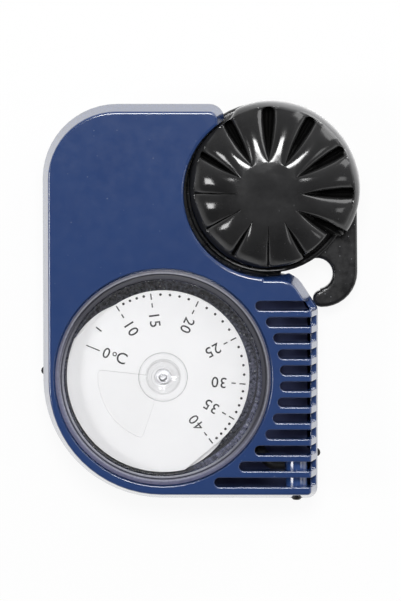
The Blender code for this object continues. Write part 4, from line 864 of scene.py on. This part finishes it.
# Lanes across half a flute and half a petal: share of the flute's half width, share of the petal, depth share
LANES = np.array(
    [
        (0.0, 0, 0.88), (0.05, 0, 0.9), (0.1, 0, 0.97), (0.2, 0, 1.0), (0.35, 0, 0.99), (0.5, 0, 0.96),
        (0.64, 0, 0.9), (0.75, 0, 0.8), (0.84, 0, 0.64), (0.91, 0, 0.46), (0.96, 0, 0.3), (1.0, 0.0, 0.19),
        (1.0, 0.04, 0.135), (1.0, 0.09, 0.1), (1.0, 0.15, 0.072), (1.0, 0.23, 0.047), (1.0, 0.33, 0.028),
        (1.0, 0.45, 0.014), (1.0, 0.58, 0.006), (1.0, 0.72, 0.002), (1.0, 0.86, 0.0), (1.0, 1.0, 0.0),
    ]
)
half_lanes = np.vstack(((LANES * (-1, -1, 1))[1:-1][::-1], LANES))
lane_flute, lane_petal, lane_depth = np.tile(half_lanes, (len(FLUTE_ROWS), 1)).T
lane_half, lane_deep, lane_run = np.repeat(FLUTE_ROWS, len(half_lanes), axis=0).T
lane_centre = np.repeat(np.arange(len(FLUTE_ROWS)), len(half_lanes)) * 2 * np.pi / len(FLUTE_ROWS)
print("bulb grid", len(row_at), "rows x", len(lane_depth), "columns")

# %% [markdown]
# The bulb isn't a plain round: the jaw of the case holds it back on one side, four petals on its lower side
# are short, and its free side follows a round about the jaw's axis. So its reach is worked out for each
# direction, with a smooth change from one limit to the next.

# %% Reach of the bulb in each direction
JAW_LIMIT = 28.1
FREE_LIMIT = 31.25
# Where the jaw's grip begins and ends, counter-clockwise from the right, and how soon, in degrees
JAW_FROM, JAW_TO, JAW_EASE = 110, 295, 9
# How far each petal reaches, in mm, starting with the one after the first flute
PETAL_REACH = np.array([40, 40, 40, 40, 40, 40, 40, 26.2, 25.6, 25.2, 24.2, 40])


def bulb_reach(angle, wide, shift):
    """Distance from the jaw's axis to a round section whose centre is shifted: along + sqrt(along^2 - s^2 +
    R^2), held back to the jaw's wall on the side where the case grips the bulb, to each petal's own reach,
    and on the free side to a round about the jaw's axis."""
    s = DRUM_SHIFT * shift[..., None]
    along = s[..., 0] * np.cos(angle) + s[..., 1] * np.sin(angle)
    reach = along + np.sqrt(along**2 - (s**2).sum(-1) + (DRUM_RADIUS * wide) ** 2)
    turn = np.degrees(angle) % 360
    held = np.clip((turn - JAW_FROM) / JAW_EASE, 0, 1) * np.clip((JAW_TO - turn) / JAW_EASE, 0, 1)
    held = held * held * (3 - 2 * held)
    reach = reach + (np.minimum(reach, JAW_LIMIT) - reach) * held
    here = np.repeat(PETAL_REACH, len(half_lanes))
    before = np.repeat(np.roll(PETAL_REACH, 1), len(half_lanes))
    side = np.where(lane_petal == 0, (lane_flute + 1) / 2, lane_petal > 0)
    limit = np.minimum(before + (here - before) * side, FREE_LIMIT * wide + 0.25)
    # A smooth minimum: the two are blended where they differ by less than a millimetre
    blend = np.clip(0.5 + (limit - reach) / 2.0, 0, 1)
    return limit + (reach - limit) * blend - blend * (1 - blend)


print("reach limits in mm:", JAW_LIMIT, FREE_LIMIT)

# %% [markdown]
# The outer skin takes the dome's height and the reach, and lowers them by the flutes. A second, plain set of
# rows goes on from its lower edge: neck, flange, mouth and the hollow inside, so the bulb is a real wall.


# %% Bulb surface
# Way from the crown in which a flute opens, and how far a petal's edge droops, in mm
FLUTE_OPENING, PETAL_DROOP = 13.0, 0.9


def bulb_surface():
    """Outer skin: dome height and reach at each row, less the flutes. A flute's half width grows with the
    way from the crown to the power 0.8, and closes in a half circle at its end; its depth grows with the same
    way. The angle of a lane inside a flute is asin(offset / radius), so the walls run parallel. Returns the
    points, and each point's depth in its flute as a share of the deepest."""
    at = row_at[:, None]
    end = flute_end_at + lane_run[None, :]
    way = np.clip((at - crown_at) / FLUTE_OPENING, 0, 1)
    closing = np.clip((end - at) / np.maximum(lane_half, 1.2), 0, 1)
    half = lane_half * way**0.8 * np.sqrt(1 - (1 - closing) ** 2)
    deep = lane_deep * np.clip(way / 0.55, 0, 1) ** 0.7 * np.clip(closing / 0.4, 0, 1) ** 0.5
    radius = np.maximum(DRUM_RADIUS * row_wide[:, None], 0.02)
    edge = np.arcsin(np.clip(np.maximum(half, 0.1) / np.maximum(radius, 0.6), 0, 0.2))
    sector = np.pi / len(FLUTE_ROWS)
    angle = lane_centre + lane_flute * edge + lane_petal * (sector - edge)
    reach = bulb_reach(angle, row_wide[:, None] + 0 * angle, row_shift[:, None] + 0 * angle)
    # Petals are pillows: their edges droop, most of all half way down the dome
    swell = np.sin(np.pi * np.clip((at - crown_at) / (arc[-1] * 0.8 - crown_at), 0, 1)) ** 1.2
    droop = PETAL_DROOP * swell * (1 - np.abs(lane_petal)) ** 2
    z = BULB_FOOT + BULB_HEIGHT * row_height[:, None] - deep * lane_depth - droop
    # No flute runs deeper than the drum's lower edge, which leaves room to squeeze over the clamp ring
    z = np.maximum(z, BULB_FOOT + BULB_HEIGHT * row_height[-1])
    points = np.stack((JAW[0] + reach * np.cos(angle), JAW[1] + reach * np.sin(angle), z), axis=-1)
    return points, deep * lane_depth / lane_deep.max()


outer, outer_groove = bulb_surface()
last_angle = np.arctan2(outer[-1, :, 1] - JAW[1], outer[-1, :, 0] - JAW[0])
# Neck, flange, mouth and cavity as plain round rows: radius, height
inner_rows = np.array(
    [
        (25.2, 17.3), (25.2, 13.42), (27.5, 13.4), (27.8, 13.1), (27.8, 12.7), (27.6, 12.5), (23.4, 12.5),
        (23.4, 16.0), (22.6, 18.0), (21.0, 19.2), (15.5, 22.0), (8.9, 24.2), (0.0, 24.5),
    ]
)
r, z = inner_rows[:, 0, None], inner_rows[:, 1, None]
inner = (JAW[0] + r * np.cos(last_angle), JAW[1] + r * np.sin(last_angle), z + 0 * last_angle)
inner = np.stack(inner, axis=-1)
bulb_grid = np.concatenate((outer, inner))
bulb_groove = np.concatenate((outer_groove, np.zeros(inner.shape[:2])))
bulb_grid[0, :, :2] = JAW
print("deepest flute", round(float((outer_groove * lane_deep.max()).max()), 1), "mm")

# %% [markdown]
# The rubber is glossy black with a worn, mottled crown. Two things are painted into it. On the free side the
# rim gets a painted sheen, a pale colour and a sheen layer where the skin is seen at a grazing angle; and the
# flutes get painted shade, as little light finds its way in. The grid's groove attribute tells the shader
# where the flutes are.


# %% Glossy bulb rubber
BULB_CROWN = (JAW[0] * MM, JAW[1] * MM, (BULB_FOOT + BULB_HEIGHT) * MM)


def glossy_rubber(name):
    finish, tree, shader = new_finish(name, 0.14, Specular_IOR_Level=0.6)
    where = place_in(tree)
    cloud = ramp(tree, noise(tree, where, 90.0, 4.0), 0.35, 0.75)
    body = mix(tree, cloud, colour(0.012, 0.012, 0.0125), colour(0.022, 0.022, 0.0225))
    # Worn crown
    off = place_measure(tree, "DISTANCE", where, BULB_CROWN)
    mottle = ramp(tree, noise(tree, where, 700.0, 3.0), 0.2, 0.8, 0.3, 0.7)
    crown = calc(tree, "MULTIPLY", ramp(tree, off, 8.0 * MM, 14.0 * MM, 0.5, 0.1), mottle)
    body = mix(tree, crown, body, colour(0.04, 0.04, 0.042))
    # Painted sheen: pale colour and a sheen layer on the outer rim, free side, upper part only
    free_side = toward_side(tree, JAW, (0.6, 0.8, 0.0), 12.0, 27.0)
    rim = ramp(tree, axis_distance(tree, JAW), 28.6 * MM, 31.2 * MM)
    above = ramp(tree, add(tree, "SeparateXYZ", {0: where}).outputs["Z"], 20.5 * MM, 22.5 * MM)
    painted_rim_sheen = calc(tree, "MULTIPLY", calc(tree, "MULTIPLY", free_side, rim), above)
    feed(shader, Sheen_Weight=painted_rim_sheen)
    shader.inputs["Sheen Roughness"].default_value = 0.5
    body = mix(tree, ramp(tree, painted_rim_sheen, 0.0, 1.0, 0.0, 0.27), body, colour(0.8, 0.8, 0.82))
    # Painted shade in the flutes: a darker colour and less gloss where they are deep
    groove = add(tree, "Attribute", attribute_name="groove").outputs["Fac"]
    body = mix(tree, ramp(tree, groove, 0.2, 0.55), body, colour(0.006, 0.006, 0.006))
    feed(shader, Specular_IOR_Level=ramp(tree, groove, 0.2, 0.6, 0.6, 0.2))
    body = dust(tree, where, body, 1000.0, 0.02, 0.3, (0.3, 0.3, 0.32))
    feed(shader, Base_Color=body, Roughness=ramp(tree, noise(tree, where, 140.0, 3.0), 0.35, 0.7, 0.1, 0.2))
    feed(shader, Normal=bump(tree, noise(tree, where, 160.0, 2.0), 0.25, 0.35))
    return finish


bulb_black = glossy_rubber("bulb_black")
bulb = piece_from_grid("rubber_bulb", bulb_grid, bulb_black, "bulb", groove=bulb_groove)
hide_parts("squeeze_bulb")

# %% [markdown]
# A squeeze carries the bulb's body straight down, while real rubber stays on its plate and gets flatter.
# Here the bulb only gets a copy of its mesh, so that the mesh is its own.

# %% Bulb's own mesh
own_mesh(bulb)

# %% [markdown]
# ## Printed scale
#
# The scale is printed on the white plate: strokes at each five degrees, dots between, and numbers whose
# baselines run in toward the pivot. The ink is a film a few hundredths of a millimetre thick, made as closed
# little prisms just above the plate, so it stays crisp at any distance.

# %% Shapes of the print
# The print's centre stands half a millimetre off the pin's
PRINT_CENTRE = np.array([-12.86, -25.37])
PRINT_FOOT, PRINT_TOP = 22.605, 22.65


def prisms(outlines, first):
    """Closed prisms from outlines (count, corners, 2): corners at the foot, then the same at the top. The
    first point has the given index."""
    count, corners = outlines.shape[:2]
    foot = np.concatenate((outlines, np.full((count, corners, 1), PRINT_FOOT)), axis=2)
    top = np.concatenate((outlines, np.full((count, corners, 1), PRINT_TOP)), axis=2)
    points = np.concatenate((foot, top), axis=1).reshape(-1, 3) * MM
    start = first + (np.arange(count) * 2 * corners)[:, None]
    k = np.arange(corners)
    sides = np.stack((k, (k + 1) % corners, (k + 1) % corners + corners, k + corners), axis=-1)
    sides = (start[:, :, None] + sides[None]).reshape(-1, 4).tolist()
    caps = (start + k + corners).tolist() + (start + k[::-1]).tolist()
    return points, sides + caps


def strokes(angles, inner_radius, outer_radius, width):
    """Radial bars: four corners at two radii, half a width to each side."""
    a = np.radians(np.asarray(angles, float))[:, None, None]
    way = np.concatenate((np.cos(a), np.sin(a)), axis=2)
    side = np.concatenate((-np.sin(a), np.cos(a)), axis=2)
    reach = np.array([inner_radius, outer_radius, outer_radius, inner_radius])[None, :, None]
    shift = np.array([-0.5, -0.5, 0.5, 0.5])[None, :, None] * width
    return PRINT_CENTRE + way * reach + side * shift


def dots(angles, radius, size, corners=14):
    """Small round dots as regular polygons."""
    a = np.radians(np.asarray(angles, float))[:, None, None]
    centre = np.concatenate((np.cos(a), np.sin(a)), axis=2) * radius
    t = np.linspace(0, 2 * np.pi, corners, endpoint=False)
    return PRINT_CENTRE + centre + np.stack((np.cos(t), np.sin(t)), axis=-1)[None] * size


# %% Strokes and dots
# The scale's radii were measured in the photograph's pixels; one is PX mm
PX = 0.34
NUMBERED = {10: 122.6, 15: 97.5, 20: 64.2, 25: 27.9, 30: -5.0, 35: -30.5, 40: -52.7}
ZERO_ANGLE, FIVE_ANGLE = 157.2, 142.8
numbered = np.array(list(NUMBERED.values()))
between = (numbered[:-1, None] + (numbered[1:] - numbered[:-1])[:, None] * np.arange(1, 5) / 5).ravel()
points, faces = np.empty((0, 3)), []
for outlines in (
    strokes(numbered, 78.5 * PX, 84.7 * PX, 0.42),
    strokes(numbered, 70.5 * PX, 74.8 * PX, 0.42),
    strokes([ZERO_ANGLE], 67.5 * PX, 82.3 * PX, 0.36),
    strokes([FIVE_ANGLE], 76 * PX, 83 * PX, 0.45),
    dots(between, 83 * PX, 0.45),
):
    more_points, more_faces = prisms(outlines, len(points))
    points = np.vstack((points, more_points))
    faces += more_faces
marks = bpy.data.meshes.new("scale_marks")
marks.from_pydata(points.tolist(), [], faces)


def print_ink(name):
    finish, tree, shader = new_finish(name, 0.55, Specular_IOR_Level=0.3)
    cloud = noise(tree, place_in(tree), 700.0, 3.0)
    body = mix(tree, cloud, colour(0.008, 0.008, 0.009), colour(0.02, 0.02, 0.022))
    feed(shader, Base_Color=body)
    return finish


ink = print_ink("scale_ink")
finished("scale_marks", marks, ink, "case", 0)

# %% [markdown]
# Blender's own font gives the figures. Each is made a mesh and then moved to its place on the scale, so the
# finished object stays at the origin, and all of them go into one mesh.


# %% Numbers
def number(text, angle, radius, size, weight, slide=0.0):
    """Text whose baseline runs along the radius, first letter outermost, its middle at a radius."""
    data = bpy.data.curves.new("number_" + text, "FONT")
    data.body = text
    data.align_x, data.align_y = "CENTER", "CENTER"
    data.size = size * MM
    data.space_character = 1.12
    data.offset = weight * MM
    data.extrude = (PRINT_TOP - PRINT_FOOT) / 2 * MM
    text_object = bpy.data.objects.new("number_" + text, data)
    bpy.context.scene.collection.objects.link(text_object)
    bpy.context.view_layer.update()
    mesh = bpy.data.meshes.new_from_object(text_object.evaluated_get(bpy.context.evaluated_depsgraph_get()))
    bpy.data.objects.remove(text_object)
    turn = math.radians(angle)
    middle = PRINT_CENTRE + np.array([math.cos(turn), math.sin(turn)]) * radius
    middle = middle + np.array([math.sin(turn), -math.cos(turn)]) * -slide
    place = Matrix.Translation(Vector((*middle, (PRINT_TOP + PRINT_FOOT) / 2)) * MM)
    mesh.transform(place @ Matrix.Rotation(turn + math.pi, 4, "Z"))
    return mesh


figures = bmesh.new()
for value, angle in NUMBERED.items():
    # The 40 keeps the font's own weight, and the others are a little bolder
    figures.from_mesh(number(str(value), angle, 58 * PX, 5.1, 0.0 if value == 40 else 0.03))
figures.from_mesh(number("0", ZERO_ANGLE, 60.5 * PX, 5.1, 0.02))
figures.from_mesh(number("o", ZERO_ANGLE, 52.4 * PX, 3.0, 0.05, slide=-3.4 * PX))
figures.from_mesh(number("C", ZERO_ANGLE, 44.4 * PX, 5.4, 0.04, slide=-1.2 * PX))
figures_mesh = bpy.data.meshes.new("scale_numbers")
figures.to_mesh(figures_mesh)
figures.free()
finished("scale_numbers", figures_mesh, ink, "case", 0)
